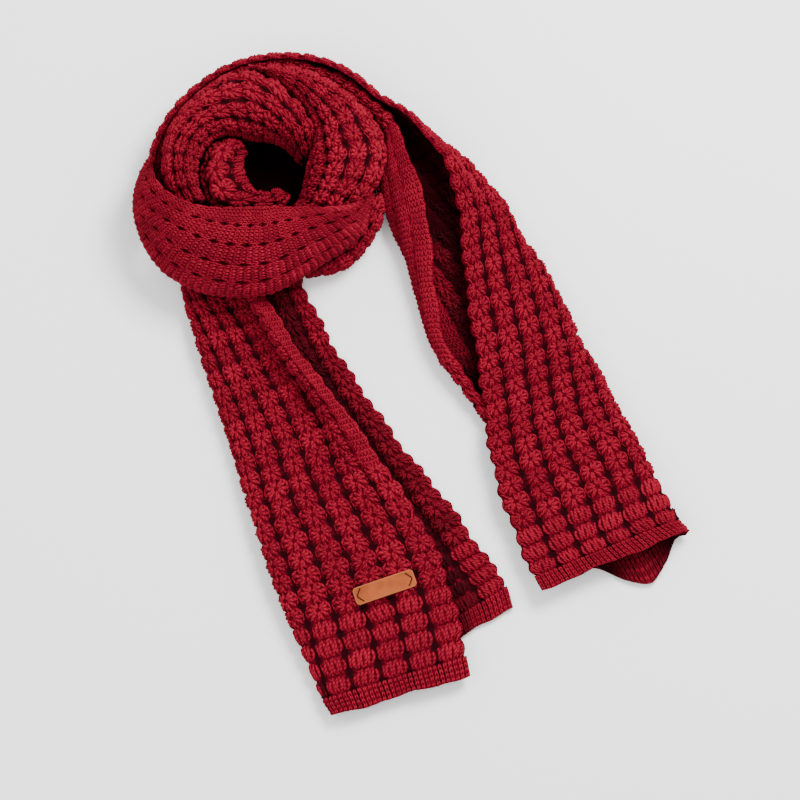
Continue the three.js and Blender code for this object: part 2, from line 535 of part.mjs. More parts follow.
// A run of cloth cut into a stretch before the given section, if any, the tail after it, and its hem.
function tailAndHem(name, sections, { facing, fineParts, before }) {
  const length = lengthOf(sections);
  const seamAt = length - HEM_LENGTH;
  const start = before ? shareAt(sections, before.sections) * length : 0;
  const tail = sharesOf(length, start, seamAt - HEM_SEAM, TAIL_STATION);
  const hem = sharesOf(length, seamAt, length, HEM_LENGTH / 2);
  const pieces = [
    named(`tail_${name}`, ribbedWall(sections, { ribs: RIBS_ACROSS, facing, shares: tail, fineParts }), RED),
    named(`hem_${name}`, hemWall(sections, { facing, shares: hem }), RED),
  ];
  if (before) {
    const shares = sharesOf(length, 0, start - RIM_SEAM, LOOP_STATION);
    pieces.push(named(before.name, ribbedWall(sections, { ribs: before.ribs, facing, shares }), RED));
  }
  return pieces;
}

// One stretch of the loop.
function loopStretch(name, table, places, ribs, facing) {
  const sections = loopSections(table, places);
  const length = lengthOf(sections);
  const shares = sharesOf(length, 0, length, LOOP_STATION);
  return named(name, ribbedWall(sections, { ribs, facing, shares }), RED);
}

// The rim's rows in the tail's columns.
function rimRow({ bearing, fold, edge, hip, flap, ...heights }) {
  const at = (radius) => aroundLoop(bearing, radius);
  return { fold: at(fold), edge: at(edge), hip: at(hip), flap: at(flap), ...heights };
}

const leftSections = LEFT_TAIL.map(leftTailSection);
const rightSections = [...RIM.map(rimRow), ...RIGHT_TAIL].map(rightTailSection);

const scarf = new THREE.Group();
scarf.add(
  ...tailAndHem("left", leftSections, { facing: 1, fineParts: [[0.36, 0.5], [0.62, 1.1]] }),
  ...tailAndHem("right", rightSections, {
    facing: -1,
    fineParts: [[0.38, 0.5], [0.7, 0.88]],
    before: { name: "loop_rim", sections: RIM.length, ribs: RIM_RIBS },
  }),
  loopStretch("loop_front", FRONT_BAND, ["edge", "top", "brow", "side", "foot"], BAND_RIBS, 1),
  loopStretch("loop_back", BACK_TURN, ["foot", "lip", "crest", "shoulder", "edge"], BACK_RIBS, -1),
  loopStretch("loop_right", RIGHT_TURN, RIGHT_PLACES, RIGHT_RIBS, 1),
  loopStretch("loop_inner", INNER_ROLL, ["outer", "shoulder", "crest", "lip", "foot"], INNER_RIBS, -1),
  loopStretch("loop_lower", LOWER_FOLD, ["edge", "top", "side", "foot"], LOWER_RIBS, 1),
  named("loop_core", coreMesh(), DEEP_RED),
  named("leather_tag", tagMesh(leftSections), TAN_LEATHER),
);

export default scarf;
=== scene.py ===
"""The looks of a chunky red knit scarf, laid down in one wound loop with two folded tails.

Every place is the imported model's: the cloth of each stretch is lofted again from the same sections as
its solid, as a thin shell, and its yarn is set on it by Geometry Nodes. Millimetres in the tables and
in the stitch charts, metres everywhere else.
"""
from __future__ import annotations

import logging
import math
from dataclasses import dataclass
from enum import Enum
from typing import NamedTuple, Sequence

import bpy
import numpy as np
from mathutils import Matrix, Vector

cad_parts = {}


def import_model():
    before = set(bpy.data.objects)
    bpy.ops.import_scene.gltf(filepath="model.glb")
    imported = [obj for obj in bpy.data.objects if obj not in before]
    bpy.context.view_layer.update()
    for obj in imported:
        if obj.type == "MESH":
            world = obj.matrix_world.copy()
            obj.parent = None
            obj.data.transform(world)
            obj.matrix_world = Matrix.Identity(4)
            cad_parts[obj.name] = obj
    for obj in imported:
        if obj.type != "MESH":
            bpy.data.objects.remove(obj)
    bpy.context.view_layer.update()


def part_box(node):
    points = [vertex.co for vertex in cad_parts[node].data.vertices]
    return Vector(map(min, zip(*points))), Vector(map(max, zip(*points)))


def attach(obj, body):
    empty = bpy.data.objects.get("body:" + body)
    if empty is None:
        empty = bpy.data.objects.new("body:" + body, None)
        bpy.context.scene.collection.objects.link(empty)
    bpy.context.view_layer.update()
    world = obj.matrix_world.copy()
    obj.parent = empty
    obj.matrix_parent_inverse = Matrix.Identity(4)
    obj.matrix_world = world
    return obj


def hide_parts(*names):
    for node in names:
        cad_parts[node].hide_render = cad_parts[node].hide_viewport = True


LOG = logging.getLogger("scarf")
MM = 0.001
ROOT = "root"

# The scarf as it is knitted, in millimetres.
RIB_PITCH = 26.0
ROW_PITCH = 16.4
STRETCHED_ROW = 18.2
RIBS_ACROSS = 13
RIB_HEIGHT = 4.0
WALL = 3.0
THICKNESS = 7.0
HEM_LENGTH = 19.0
HEM_RIB_PITCH = 4.6
OVERLAP = 1.5
SCALLOP = 3.6
LOOP_CENTRE = (-142.0, 194.0)
TO_ORIGIN = (1.4, 3.0)
YARN = 2.5

Place = tuple[float, float]


class LeftTailRow(NamedTuple):
    """A section of the left tail: where its fold and the edges of its two leaves lie, and its heights."""

    fold: Place
    edge: Place
    under: Place
    loft: float
    ridge_at: float
    rise: float
    dip: float


class RimRow(NamedTuple):
    """A section of the rim round the back: distances from the loop's middle, and heights."""

    bearing: float
    fold: float
    edge: float
    hip: float
    flap: float
    fold_up: float
    edge_up: float
    crown: float
    hip_up: float
    flap_up: float


class RightTailRow(NamedTuple):
    """A section of the right tail: its places on the table, and its heights."""

    fold: Place
    edge: Place
    hip: Place
    flap: Place
    fold_up: float
    edge_up: float
    crown: float
    hip_up: float
    flap_up: float
    peek: Place | None = None


class LoopRow(NamedTuple):
    """A section of a stretch of the loop: its bearing, and its places as (radius, height)."""

    bearing: float
    places: tuple[Place, ...]


LEFT_TAIL = (
    LeftTailRow((-224, 108), (-155, 118), (-113, 117), 21, 0.22, 4, 2),
    LeftTailRow((-217, 74), (-143, 92), (-103, 92), 22, 0.2, 10, 6),
    LeftTailRow((-207, 36), (-125, 60), (-88, 60), 23, 0.18, 14, 9),
    LeftTailRow((-192, -7), (-104, 26), (-71, 28), 23, 0.15, 15, 9),
    LeftTailRow((-171, -70), (-63, -27), (-39, -20), 23, 0.12, 13, 7),
    LeftTailRow((-155, -128), (-26, -80), (-5, -68), 23, 0.12, 7, 3),
    LeftTailRow((-133, -197), (19, -152), (34, -116), 23, 0.15, 2, 1),
    LeftTailRow((-107, -255), (40, -211), (66, -162), 22, 0.3, 0, 1),
    LeftTailRow((-85, -304), (52, -263), (90, -196), 20, 0.4, 1, 1),
    LeftTailRow((-75, -321), (56, -283), (96, -216), 19, 0.4, 1, 1),
)
RIM = (
    RimRow(188, 109, 106, 90, 99, 8, 34, 22, 8, 32),
    RimRow(176, 112, 109, 93, 101, 8, 41, 26, 8, 38),
    RimRow(160, 110, 107, 92, 99, 9, 48, 28, 9, 45),
    RimRow(141, 109, 105, 91, 98, 9, 50, 29, 9, 47),
    RimRow(120, 110, 106, 91, 99, 9, 51, 29, 9, 48),
    RimRow(99, 116, 111, 91, 104, 9, 50, 29, 9, 47),
    RimRow(78, 125, 118, 97, 111, 9, 48, 29, 9, 45),
    RimRow(60, 132, 126, 101, 116, 9, 48, 29, 10, 43),
    RimRow(46, 137, 131, 105, 121, 9, 48, 30, 11, 43),
    RimRow(34, 141, 136, 111, 127, 9, 48, 31, 13, 44),
)
RIGHT_TAIL = (
    RightTailRow((4, 251), (-2, 254), (-29, 235), (-18, 243), 9, 49, 32, 15, 44),
    RightTailRow((30, 233), (19, 231), (-31, 206), (-7, 222), 10, 47, 35, 16, 45),
    RightTailRow((60, 209), (37, 200), (-31, 175), (4, 195), 10, 43, 38, 15, 42),
    RightTailRow((91, 172), (47, 150), (-20, 142), (16, 149), 11, 35, 33, 14, 38),
    RightTailRow((126, 114), (53, 84), (1, 86), (22, 88), 12, 29, 29, 12, 34),
    RightTailRow((156, 56), (63, 16), (17, 32), (33, 31), 13, 25, 27, 11, 29),
    RightTailRow((180, 10), (70, -35), (50, -18), (68, -20), 13, 27, 29, 11, 20),
    RightTailRow((198, -24), (75, -76), (85, -68), (113, -61), 13, 28, 30, 11, 20),
    RightTailRow((224, -70), (89, -126), (113, -116), (152, -99), 13, 28, 29, 11, 20),
    RightTailRow((252, -128), (113, -184), (147, -168), (187, -151), 13, 27, 28, 11, 20),
    RightTailRow((264, -145), (123, -203), (163, -184), (202, -168), 13, 27, 28, 11, 20, peek=(228, -194)),
)
# Places: edge, top, brow, side, foot.
FRONT_BAND = (
    LoopRow(171, ((104, 30), (107, 33), (110, 30), (112, 21), (111, 8))),
    LoopRow(181, ((100, 60), (105, 63), (113, 56), (118, 34), (114, 5))),
    LoopRow(190, ((95, 76), (103, 78), (115, 67), (125, 38), (119, 5))),
    LoopRow(200, ((84, 80), (96, 83), (114, 71), (130, 39), (123, 7))),
    LoopRow(212, ((70, 82), (88, 86), (112, 74), (134, 42), (128, 25))),
    LoopRow(225, ((56, 83), (80, 87), (109, 75), (135, 44), (130, 25))),
    LoopRow(240, ((46, 83), (74, 87), (105, 75), (131, 45), (127, 24.5))),
    LoopRow(258, ((40, 83), (69, 87), (100, 75), (124, 46), (121, 24.5))),
    LoopRow(275, ((39, 83), (67, 87), (96, 75), (118, 47), (115, 26.5))),
    LoopRow(290, ((41, 83), (67, 86), (92, 76), (111, 50), (108, 32))),
    LoopRow(303, ((47, 82), (69, 86), (92, 76), (108, 54), (106, 37))),
    LoopRow(316, ((57, 82), (77, 84), (97, 76), (111, 56), (109, 41))),
    LoopRow(328, ((74, 80), (88, 82), (103, 75), (115, 58), (114, 44))),
    LoopRow(340, ((93, 60), (99, 63), (105, 60), (111, 49), (111, 40))),
    LoopRow(351, ((98, 34), (102, 36), (106, 34), (109, 30), (110, 26))),
)
# Places: foot, lip, crest, shoulder, edge.
BACK_TURN = (
    LoopRow(209, ((62, 40), (60, 56), (70, 64), (82, 59), (88, 46))),
    LoopRow(198, ((64, 40), (61, 62), (73, 71), (86, 65), (91, 50))),
    LoopRow(188, ((64, 42), (60, 66), (74, 79), (89, 71), (94, 53))),
    LoopRow(175, ((62, 42), (59, 66), (74, 82), (90, 74), (96, 54))),
    LoopRow(160, ((59, 38), (56, 64), (72, 83), (91, 74), (97, 52))),
    LoopRow(142, ((55, 30), (51, 62), (67, 83), (90, 74), (97, 51))),
    LoopRow(124, ((46, 16), (41, 59), (63, 83), (88, 75), (97, 52))),
    LoopRow(110, ((38, 9), (33, 56), (60, 82), (88, 77), (99, 58))),
    LoopRow(97, ((36, 9), (30, 54), (57, 83), (84, 79), (96, 64))),
    LoopRow(84, ((36, 9), (30, 52), (54, 82), (76, 81), (88, 71))),
    LoopRow(70, ((36, 9), (30, 50), (51, 81), (68, 81), (79, 74))),
    LoopRow(56, ((37, 9), (31, 47), (47, 78), (62, 78), (73, 72))),
    LoopRow(42, ((38, 9), (32, 43), (44, 71), (57, 72), (68, 66))),
    LoopRow(28, ((37, 9), (34, 31), (42, 52), (51, 54), (60, 50))),
    LoopRow(17, ((38, 9), (36, 18), (41, 30), (47, 32), (54, 28))),
)
# Places: well, lip, crest, shoulder, side, foot.
RIGHT_TURN = (
    LoopRow(-47, ((46, 9), (44, 40), (62, 60), (78, 52), (86, 34), (84, 10))),
    LoopRow(-33, ((46, 9), (44, 44), (66, 68), (83, 60), (92, 38), (89, 6))),
    LoopRow(-20, ((45, 9), (43, 50), (70, 75), (91, 64), (100, 42), (97, 6))),
    LoopRow(-6, ((46, 9), (43, 53), (74, 80), (101, 69), (111, 46), (108, 6))),
    LoopRow(8, ((48, 9), (45, 55), (77, 82), (108, 71), (120, 46), (116, 6))),
    LoopRow(22, ((54, 9), (52, 57), (79, 82), (110, 71), (120, 46), (115, 16))),
    LoopRow(36, ((63, 18), (61, 58), (81, 81), (106, 72), (114, 48), (109, 22))),
    LoopRow(50, ((69, 30), (67, 61), (82, 80), (102, 73), (109, 52), (106, 34))),
    LoopRow(64, ((75, 44), (73, 64), (85, 80), (100, 73), (106, 55), (104, 43))),
    LoopRow(77, ((83, 50), (81, 66), (89, 78), (98, 71), (103, 56), (102, 46))),
    LoopRow(89, ((91, 54), (90, 66), (94, 73), (98, 68), (101, 58), (101, 52))),
    LoopRow(98, ((98, 58), (97, 63), (99, 66), (100, 64), (101, 59), (101, 56))),
)
# Places: outer, shoulder, crest, lip, foot.
INNER_ROLL = (
    LoopRow(121, ((38, 26), (36, 42), (32, 47), (26, 42), (27, 8.6))),
    LoopRow(137, ((47, 28), (46, 52), (36, 60), (23, 50), (25, 8.6))),
    LoopRow(156, ((53, 32), (52, 60), (39, 69), (20, 57), (23, 8.6))),
    LoopRow(175, ((56, 32), (55, 64), (40, 73), (18, 59), (20, 8.6))),
    LoopRow(195, ((58, 32), (57, 65), (41, 74), (17, 60), (19, 8.6))),
    LoopRow(213, ((57, 32), (56, 63), (39, 72), (17, 58), (19, 8.6))),
    LoopRow(232, ((52, 30), (50, 58), (36, 66), (18, 55), (20, 8.6))),
    LoopRow(252, ((43, 28), (40, 51), (31, 58), (19, 50), (22, 8.6))),
    LoopRow(274, ((39, 26), (37, 48), (30, 55), (20, 47), (22, 8.6))),
    LoopRow(294, ((39, 24), (37, 46), (30, 52), (20, 44), (22, 8.6))),
    LoopRow(312, ((37, 22), (35, 41), (29, 47), (21, 41), (23, 8.6))),
    LoopRow(326, ((36, 20), (34, 33), (30, 38), (25, 33), (26, 8.6))),
)
# Places: edge, top, side, foot.
LOWER_FOLD = (
    LoopRow(293, ((88, 27), (97, 29), (106, 17), (103, 4))),
    LoopRow(302, ((90, 34.4), (102, 35.4), (113, 20), (109, 2))),
    LoopRow(313, ((94, 39.4), (108, 39.4), (121, 21), (116, 2))),
    LoopRow(325, ((99, 41.4), (112, 41.4), (123, 22), (118, 2))),
    LoopRow(338, ((104, 42.4), (115, 42.4), (124, 23), (119, 2))),
    LoopRow(350, ((111, 40), (116, 40), (121, 23), (117, 2))),
)
# Places: outer, shoulder, top, lip.
CORE = (
    LoopRow(0, ((98, 34), (92, 56), (79, 70), (64, 50))),
    LoopRow(20, ((104, 34), (98, 57), (86, 71), (76, 52))),
    LoopRow(41, ((99, 10), (97, 14), (92, 13), (86, 10))),
    LoopRow(50, ((92, 9), (84, 16), (60, 30), (50, 24))),
    LoopRow(61, ((86, 24), (73, 38), (56, 56), (47, 42))),
    LoopRow(80, ((89, 34), (79, 52), (57, 71), (46, 44))),
    LoopRow(100, ((88, 38), (80, 60), (60, 74), (47, 48))),
    LoopRow(124, ((84, 40), (80, 64), (66, 73), (57, 50))),
    LoopRow(142, ((83, 40), (81, 64), (72, 73), (66, 50))),
    LoopRow(160, ((82, 36), (81, 62), (76, 72), (69, 50))),
    LoopRow(190, ((78, 34), (80, 48), (77, 56), (74, 44))),
    LoopRow(206, ((76, 32), (78, 40), (74, 46), (71, 36))),
    LoopRow(225, ((78, 40), (87, 63), (78, 73), (66, 50))),
    LoopRow(250, ((78, 40), (88, 65), (69, 77), (54, 50))),
    LoopRow(280, ((78, 40), (83, 65), (65, 77), (52, 46))),
    LoopRow(310, ((72, 30), (70, 40), (64, 46), (58, 30))),
    LoopRow(335, ((84, 30), (80, 48), (72, 60), (60, 40))),
)


class Side(Enum):
    """Which skin of the cloth a pattern is worked on."""

    OUTER = "outer"
    INNER = "inner"


class Smooth:
    """Centripetal Catmull-Rom curves through rows of points, one curve for each column."""

    DIVISIONS = 200

    def __init__(self, points: np.ndarray) -> None:
        """Keeps the points, with one reflected past each end.

        Args:
            points: An array of rows, columns and 3 coordinates.
        """
        before = 2 * points[0] - points[1]
        after = 2 * points[-1] - points[-2]
        self.points = np.concatenate([before[None], points, after[None]])
        steps = np.linalg.norm(np.diff(self.points, axis=0), axis=-1) ** 0.5
        self.steps = np.maximum(steps, 1e-6)[..., None]

    def at(self, times: np.ndarray) -> np.ndarray:
        """Points at the given times, from 0 at the first row to 1 at the last."""
        spans = len(self.points) - 3
        place = np.clip(times, 0, 1) * spans
        span = np.minimum(place.astype(int), spans - 1)
        weight = (place - span)[:, None, None]
        p0, p1, p2, p3 = (self.points[span + step] for step in range(4))
        d0, d1, d2 = (self.steps[span + step] for step in range(3))
        start = ((p1 - p0) / d0 - (p2 - p0) / (d0 + d1) + (p2 - p1) / d1) * d1
        end = ((p2 - p1) / d1 - (p3 - p1) / (d1 + d2) + (p3 - p2) / d2) * d1
        cubic = 2 * p1 - 2 * p2 + start + end
        square = -3 * p1 + 3 * p2 - 2 * start - end
        return p1 + weight * (start + weight * (square + weight * cubic))

    def times(self, shares: np.ndarray) -> np.ndarray:
        """Times at the given shares of the first column's length."""
        along, lengths = self.measure()
        return np.interp(shares * lengths[-1], lengths, along)

    def measure(self) -> tuple[np.ndarray, np.ndarray]:
        """The times of even divisions, and the first column's length up to each."""
        along = np.linspace(0, 1, self.DIVISIONS + 1)
        steps = np.linalg.norm(np.diff(self.at(along)[:, 0], axis=0), axis=1)
        return along, np.concatenate([[0], np.cumsum(steps)])


def evenly(points: np.ndarray, count: int) -> np.ndarray:
    """Points an even distance apart on one curve, as many as count and one more."""
    curve = Smooth(points[:, None])
    return curve.at(curve.times(np.linspace(0, 1, count + 1)))[:, 0]


def between(start: Place, end: Place, share: float) -> Place:
    """The place a share of the way from one to another."""
    return (start[0] + (end[0] - start[0]) * share, start[1] + (end[1] - start[1]) * share)


def toward(start: Place, end: Place, distance: float) -> Place:
    """The place a distance from one towards another."""
    return between(start, end, distance / math.dist(start, end))


def point(place: Place, height: float) -> tuple[float, float, float]:
    """A point in millimetres about the scarf's origin."""
    return (place[0] + TO_ORIGIN[0], place[1] + TO_ORIGIN[1], height)


def round_loop(bearing: float, radius: float) -> Place:
    """A place round the loop's middle."""
    angle = math.radians(bearing)
    return (LOOP_CENTRE[0] + radius * math.cos(angle), LOOP_CENTRE[1] + radius * math.sin(angle))


def left_section(row: LeftTailRow) -> np.ndarray:
    """The left tail's section: top leaf from its edge over the pleat to the fold, then the under leaf."""
    fold, edge, under, loft, ridge_at, rise, dip = row
    bend = loft / 2
    return np.array([
        point(edge, loft - 1 + rise * 0.2),
        point(between(edge, fold, ridge_at * 0.5), loft + rise * 0.55),
        point(between(edge, fold, ridge_at), loft + rise),
        point(between(edge, fold, ridge_at + 0.17), loft - dip),
        point(between(edge, fold, 0.5 + ridge_at * 0.5), loft - dip * 0.35),
        point(toward(fold, edge, bend), loft),
        point(toward(fold, edge, bend * 0.25), bend * 1.66),
        point(fold, bend),
        point(toward(fold, under, bend * 0.25), bend * 0.34),
        point(toward(fold, under, bend), 0),
        point(between(fold, under, 0.5), 0),
        point(under, 0),
    ])


def right_section(row: RightTailRow) -> np.ndarray:
    """The right tail's section: top leaf from its edge to the fold, under leaf to the hip, and the flap."""
    fold, edge, hip, flap, fold_up, edge_up, crown, hip_up, flap_up, peek = row
    turn = min(hip_up, 0.4 * math.dist(flap, hip))
    bend = min(fold_up, 0.4 * math.dist(edge, fold))
    return np.array([
        point(edge, edge_up),
        point(between(edge, fold, 0.45), crown),
        point(toward(fold, edge, bend), fold_up * 2),
        point(fold, fold_up),
        point(toward(fold, hip, fold_up), 0),
        point(peek or between(fold, hip, 0.45), 0),
        point(toward(hip, fold, hip_up), 0),
        point(hip, hip_up),
        point(toward(hip, flap, turn), hip_up + (flap_up - hip_up) * 0.9),
        point(flap, flap_up),
    ])


def rim_section(row: RimRow) -> np.ndarray:
    """The rim's section, in the right tail's columns."""
    places = (round_loop(row.bearing, radius) for radius in (row.fold, row.edge, row.hip, row.flap))
    return right_section(RightTailRow(*places, *row[5:]))


def loop_section(row: LoopRow) -> np.ndarray:
    """A section of a stretch of the loop, through its places."""
    return np.array([point(round_loop(row.bearing, radius), height) for radius, height in row.places])


def rib_shape(share: np.ndarray) -> np.ndarray:
    """A rib's height at a share of the way over it, 0 in the groove and 1 at the top."""
    return np.abs(np.sin(np.pi * share)) ** 0.8


def smoothstep(low: float, high: float, value: np.ndarray) -> np.ndarray:
    """A smooth rise from 0 at low to 1 at high."""
    share = np.clip((value - low) / (high - low), 0, 1)
    return share * share * (3 - 2 * share)


def dome(across: np.ndarray, along: np.ndarray) -> np.ndarray:
    """A bobble's height, 0 to 1, at a place in its repeat.

    Args:
        across: 0 on the rib's top and 1 in the groove at either side.
        along: 0 at its arched top, which is towards the loop, and 1 at its neck.

    Returns:
        The height.
    """
    narrow = np.clip(across / (1.05 - 0.36 * along**3), 0, 1)
    over = (1 - narrow**2.9) ** 0.62
    rise = smoothstep(-0.12, 0.2, along)
    return over * rise * (1 - 0.5 * along**2.4)


@dataclass
class Cloth:
    """A stretch of the scarf's cloth: a fine grid of points on its rib tops, with normals.

    Attributes:
        sections: The sections that it is lofted through, in millimetres.
        ribs: Ribs across it.
        facing: The side that its normals point to, 1 or -1.
        start: Where the stretch begins, as a share of the sections' length.
        end: Where it ends.
        columns_per_rib: Grid columns for each rib.
        rows_per_bobble: Grid rows for each row of bobbles.
        row_pitch: Length of a row of bobbles along the cloth.
        bridged: Whether its grooves are stretched open, deep only at the holes between rows.
        pulled: Where it is pulled flat: from rib, to rib, from row, to row.
    """

    sections: list[np.ndarray]
    ribs: int
    facing: int
    start: float = 0.0
    end: float = 1.0
    columns_per_rib: int = 8
    rows_per_bobble: int = 6
    row_pitch: float = ROW_PITCH
    bridged: bool = False
    pulled: tuple[int, int, int, int] = (0, 0, 0, 0)

    def __post_init__(self) -> None:
        """Lofts the grid."""
        fine = 300
        columns = self.ribs * self.columns_per_rib
        middle = Smooth(np.array([evenly(s, fine).mean(axis=0) for s in self.sections])[:, None])
        self.length = middle.measure()[1][-1] * (self.end - self.start)
        self.rows = max(1, round(self.length / self.row_pitch))
        count = self.rows * self.rows_per_bobble
        times = middle.times(np.linspace(self.start, self.end, count + 1))
        lines = Smooth(np.array([evenly(s, columns * 3) for s in self.sections]))
        full = lines.at(times)
        side = np.gradient(full, axis=1)
        ahead = lines.at(times + 1e-4) - lines.at(times - 1e-4)
        normal = np.cross(side, ahead) * self.facing
        normal /= np.linalg.norm(normal, axis=2, keepdims=True)
        self.points = full[:, ::3]
        self.normals = normal[:, ::3]
        across = np.linspace(0, self.ribs, columns + 1)
        along = np.linspace(0, self.rows, count + 1)
        self.across, self.along = np.meshgrid(across, along)
        if self.row_pitch == ROW_PITCH:
            side = side[:, ::3] / np.linalg.norm(side[:, ::3], axis=2, keepdims=True)
            out = np.clip(self.across - self.ribs + 0.6, 0, 1) - np.clip(0.6 - self.across, 0, 1)
            wave = SCALLOP * (np.abs(np.sin(np.pi * (self.along + 0.06))) - 0.5)
            wave = wave * (1 - 0.7 * self.pulled_flat()) + 1.3 * np.sin(self.along * 1.7 + self.ribs)
            self.points += side * (out / 0.6 * wave)[..., None]
        if self.row_pitch == HEM_LENGTH:
            self.points[..., :2] += (ahead / np.linalg.norm(ahead, axis=2, keepdims=True))[:, ::3, :2] * (
                1.1 * self.along * np.sin(self.across * 2.1) + 0.5 * self.along * np.sin(self.across * 5.3)
            )[..., None]
        down = -self.normals[..., 2]
        self.flat = np.where(self.points[..., 2] < 2.5, smoothstep(0.5, 0.85, down), 0)

    def pulled_flat(self) -> np.ndarray:
        """Whether each point lies where the cloth is pulled flat."""
        left, right, first, last = self.pulled
        across = (self.across >= left) & (self.across <= right)
        return across & (self.along >= first) & (self.along <= last) & (right > left)

    def relief(self, grooves: float = 4.0) -> np.ndarray:
        """How far the plain cloth lies below the rib tops: deep between bobbles, least under each."""
        rib = rib_shape(self.across)
        if self.bridged:
            hole = np.abs(np.cos(np.pi * self.along)) ** 3
            return 1.8 + grooves * (1 - rib) * (0.65 + 0.6 * hole)
        if self.row_pitch != ROW_PITCH:
            return 1.8 + grooves * (1 - rib)
        bobble = dome(np.abs(self.across % 1 - 0.5) * 2, (self.along + 1e-6) % 1)
        return np.where(self.pulled_flat(), 1.8 + 1.8 * (1 - rib), 1.2 + (grooves + 0.8) * (1 - bobble))

    def skins(self, grooves: float = 4.0) -> tuple[np.ndarray, np.ndarray]:
        """The outer and inner points of the plain cloth, in millimetres."""
        drop = self.relief(grooves)
        sunk = np.where(self.flat > 0, drop * (1 - self.flat), drop)
        outer = self.points - self.normals * sunk[..., None]
        depth = THICKNESS * (1 - self.flat) + (THICKNESS - drop) * self.flat
        inner = self.points - self.normals * depth[..., None]
        outer[..., 2] = np.where(self.flat > 0.5, 0, np.maximum(outer[..., 2], 0))
        inner[..., 2] = np.maximum(inner[..., 2], 1.2)
        return outer, inner

    def shown_width(self) -> float:
        """The mean width of what shows, over its rib tops, in millimetres."""
        return float(np.linalg.norm(np.diff(self.points, axis=1), axis=2).sum(axis=1).mean())

    def shown_outside(self) -> np.ndarray:
        """1 where the outer skin can be seen, and 0 where it lies on the table."""
        return (self.flat < 0.3).astype(float)

    def mapped(self, side: Side, shown: np.ndarray, lit: np.ndarray) -> bpy.types.Object:
        """A helper sheet whose UV map is the cloth's own, for the yarn to be laid on.

        Args:
            side: The skin that it follows.
            shown: Where yarn is wanted, 1 or 0 for each point.
            lit: The painted shade's lit share for each point, from 0, painted dark deep under a leaf, to 1.

        Returns:
            The helper, which is deleted once the yarn is laid.
        """
        outside = side is Side.OUTER
        points = self.points if outside else self.points - self.normals * THICKNESS
        normals = self.normals if outside else -self.normals
        uv = np.stack([self.across / self.ribs, self.along / self.rows], axis=-1)
        helper = sheet_object("map", points * MM, grid_faces(*points.shape[:2]))
        layer = helper.data.uv_layers.new(name="cloth")
        loops = np.empty(len(helper.data.loops), np.int32)
        helper.data.loops.foreach_get("vertex_index", loops)
        layer.data.foreach_set("uv", uv.reshape(-1, 2)[loops].ravel())
        up = helper.data.attributes.new("up", "FLOAT_VECTOR", "POINT")
        up.data.foreach_set("vector", normals.reshape(-1, 3).ravel())
        # The show attribute carries where yarn is wanted and the painted shade's lit share.
        show = helper.data.attributes.new("show", "FLOAT_VECTOR", "POINT")
        show.data.foreach_set("vector", np.stack([shown, lit, shown * 0], axis=-1).ravel())
        return helper


def grid_faces(rows: int, columns: int, start: int = 0, turned: bool = False) -> np.ndarray:
    """Four-sided faces of a grid of points whose numbers run from start."""
    numbers = start + np.arange(rows * columns).reshape(rows, columns)
    corners = [numbers[:-1, :-1], numbers[:-1, 1:], numbers[1:, 1:], numbers[1:, :-1]]
    faces = np.stack([c.ravel() for c in (reversed(corners) if turned else corners)], axis=1)
    return faces


def sheet_object(name: str, points: np.ndarray, faces: np.ndarray) -> bpy.types.Object:
    """A linked object whose mesh has the given points and four-sided faces."""
    mesh = bpy.data.meshes.new(name)
    mesh.from_pydata(points.reshape(-1, 3).tolist(), [], faces.tolist())
    mesh.update()
    made = bpy.data.objects.new(name, mesh)
    bpy.context.scene.collection.objects.link(made)
    return made


def shade_smooth(made: bpy.types.Object) -> None:
    """Shades every face of an object smooth."""
    made.data.polygons.foreach_set("use_smooth", [True] * len(made.data.polygons))


def face_out(made: bpy.types.Object) -> None:
    """Turns a closed mesh's faces round if its volume says that they point in."""
    mesh = made.data
    mesh.calc_loop_triangles()
    co = np.empty(len(mesh.vertices) * 3)
    mesh.vertices.foreach_get("co", co)
    corners = np.empty(len(mesh.loop_triangles) * 3, np.int32)
    mesh.loop_triangles.foreach_get("vertices", corners)
    a, b, c = co.reshape(-1, 3)[corners.reshape(-1, 3)].transpose(1, 0, 2)
    if np.einsum("ij,ij->i", a, np.cross(b, c)).sum() < 0:
        mesh.flip_normals()
        mesh.update()


def shell_object(
    name: str, cloth: Cloth, outer: np.ndarray, inner: np.ndarray, lit: np.ndarray,
) -> bpy.types.Object:
    """The closed shell between a stretch's two skins, with the cloth's own places as its UV map.

    Args:
        name: Its name.
        cloth: The stretch.
        outer: Points of its outer skin.
        inner: Points of its inner skin.
        lit: The painted shade's lit share of the inner skin at each point, from 0 to 1.

    Returns:
        The shell.
    """
    rows, columns = outer.shape[:2]
    count = rows * columns
    number = np.arange(count).reshape(rows, columns)
    faces = [grid_faces(rows, columns), grid_faces(rows, columns, count, turned=True)]
    border = np.concatenate([number[0, :-1], number[:-1, -1], number[-1, :0:-1], number[:0:-1, 0]])
    ahead = np.roll(border, -1)
    faces.append(np.stack([ahead, border, border + count, ahead + count], axis=1))
    points = np.concatenate([outer.reshape(-1, 3), inner.reshape(-1, 3)]) * MM
    made = sheet_object(name, points, np.concatenate(faces))
    across = np.clip(cloth.across, 0.32, cloth.ribs - 0.32)
    places = np.stack([across, cloth.along], axis=-1).reshape(-1, 2)
    places = np.concatenate([places, places])
    layer = made.data.uv_layers.new(name="cloth")
    loops = np.empty(len(made.data.loops), np.int32)
    made.data.loops.foreach_get("vertex_index", loops)
    layer.data.foreach_set("uv", places[loops].ravel())
    pulled = cloth.pulled_flat().ravel().astype(float)
    # The lit attribute carries the inner skin's painted shade to the ground finish.
    carried = {"lit": np.concatenate([np.ones(count), lit.ravel()]), "pulled": np.concatenate([pulled, pulled])}
    for key, values in carried.items():
        made.data.attributes.new(key, "FLOAT", "POINT").data.foreach_set("value", values)
    face_out(made)
    shade_smooth(made)
    return made


class Strand(NamedTuple):
    """One strand of yarn in a stitch chart: places as (across, along, height below the rib top)."""

    places: tuple[tuple[float, float, float], ...]
    steps: int
    radius: float = YARN / 2


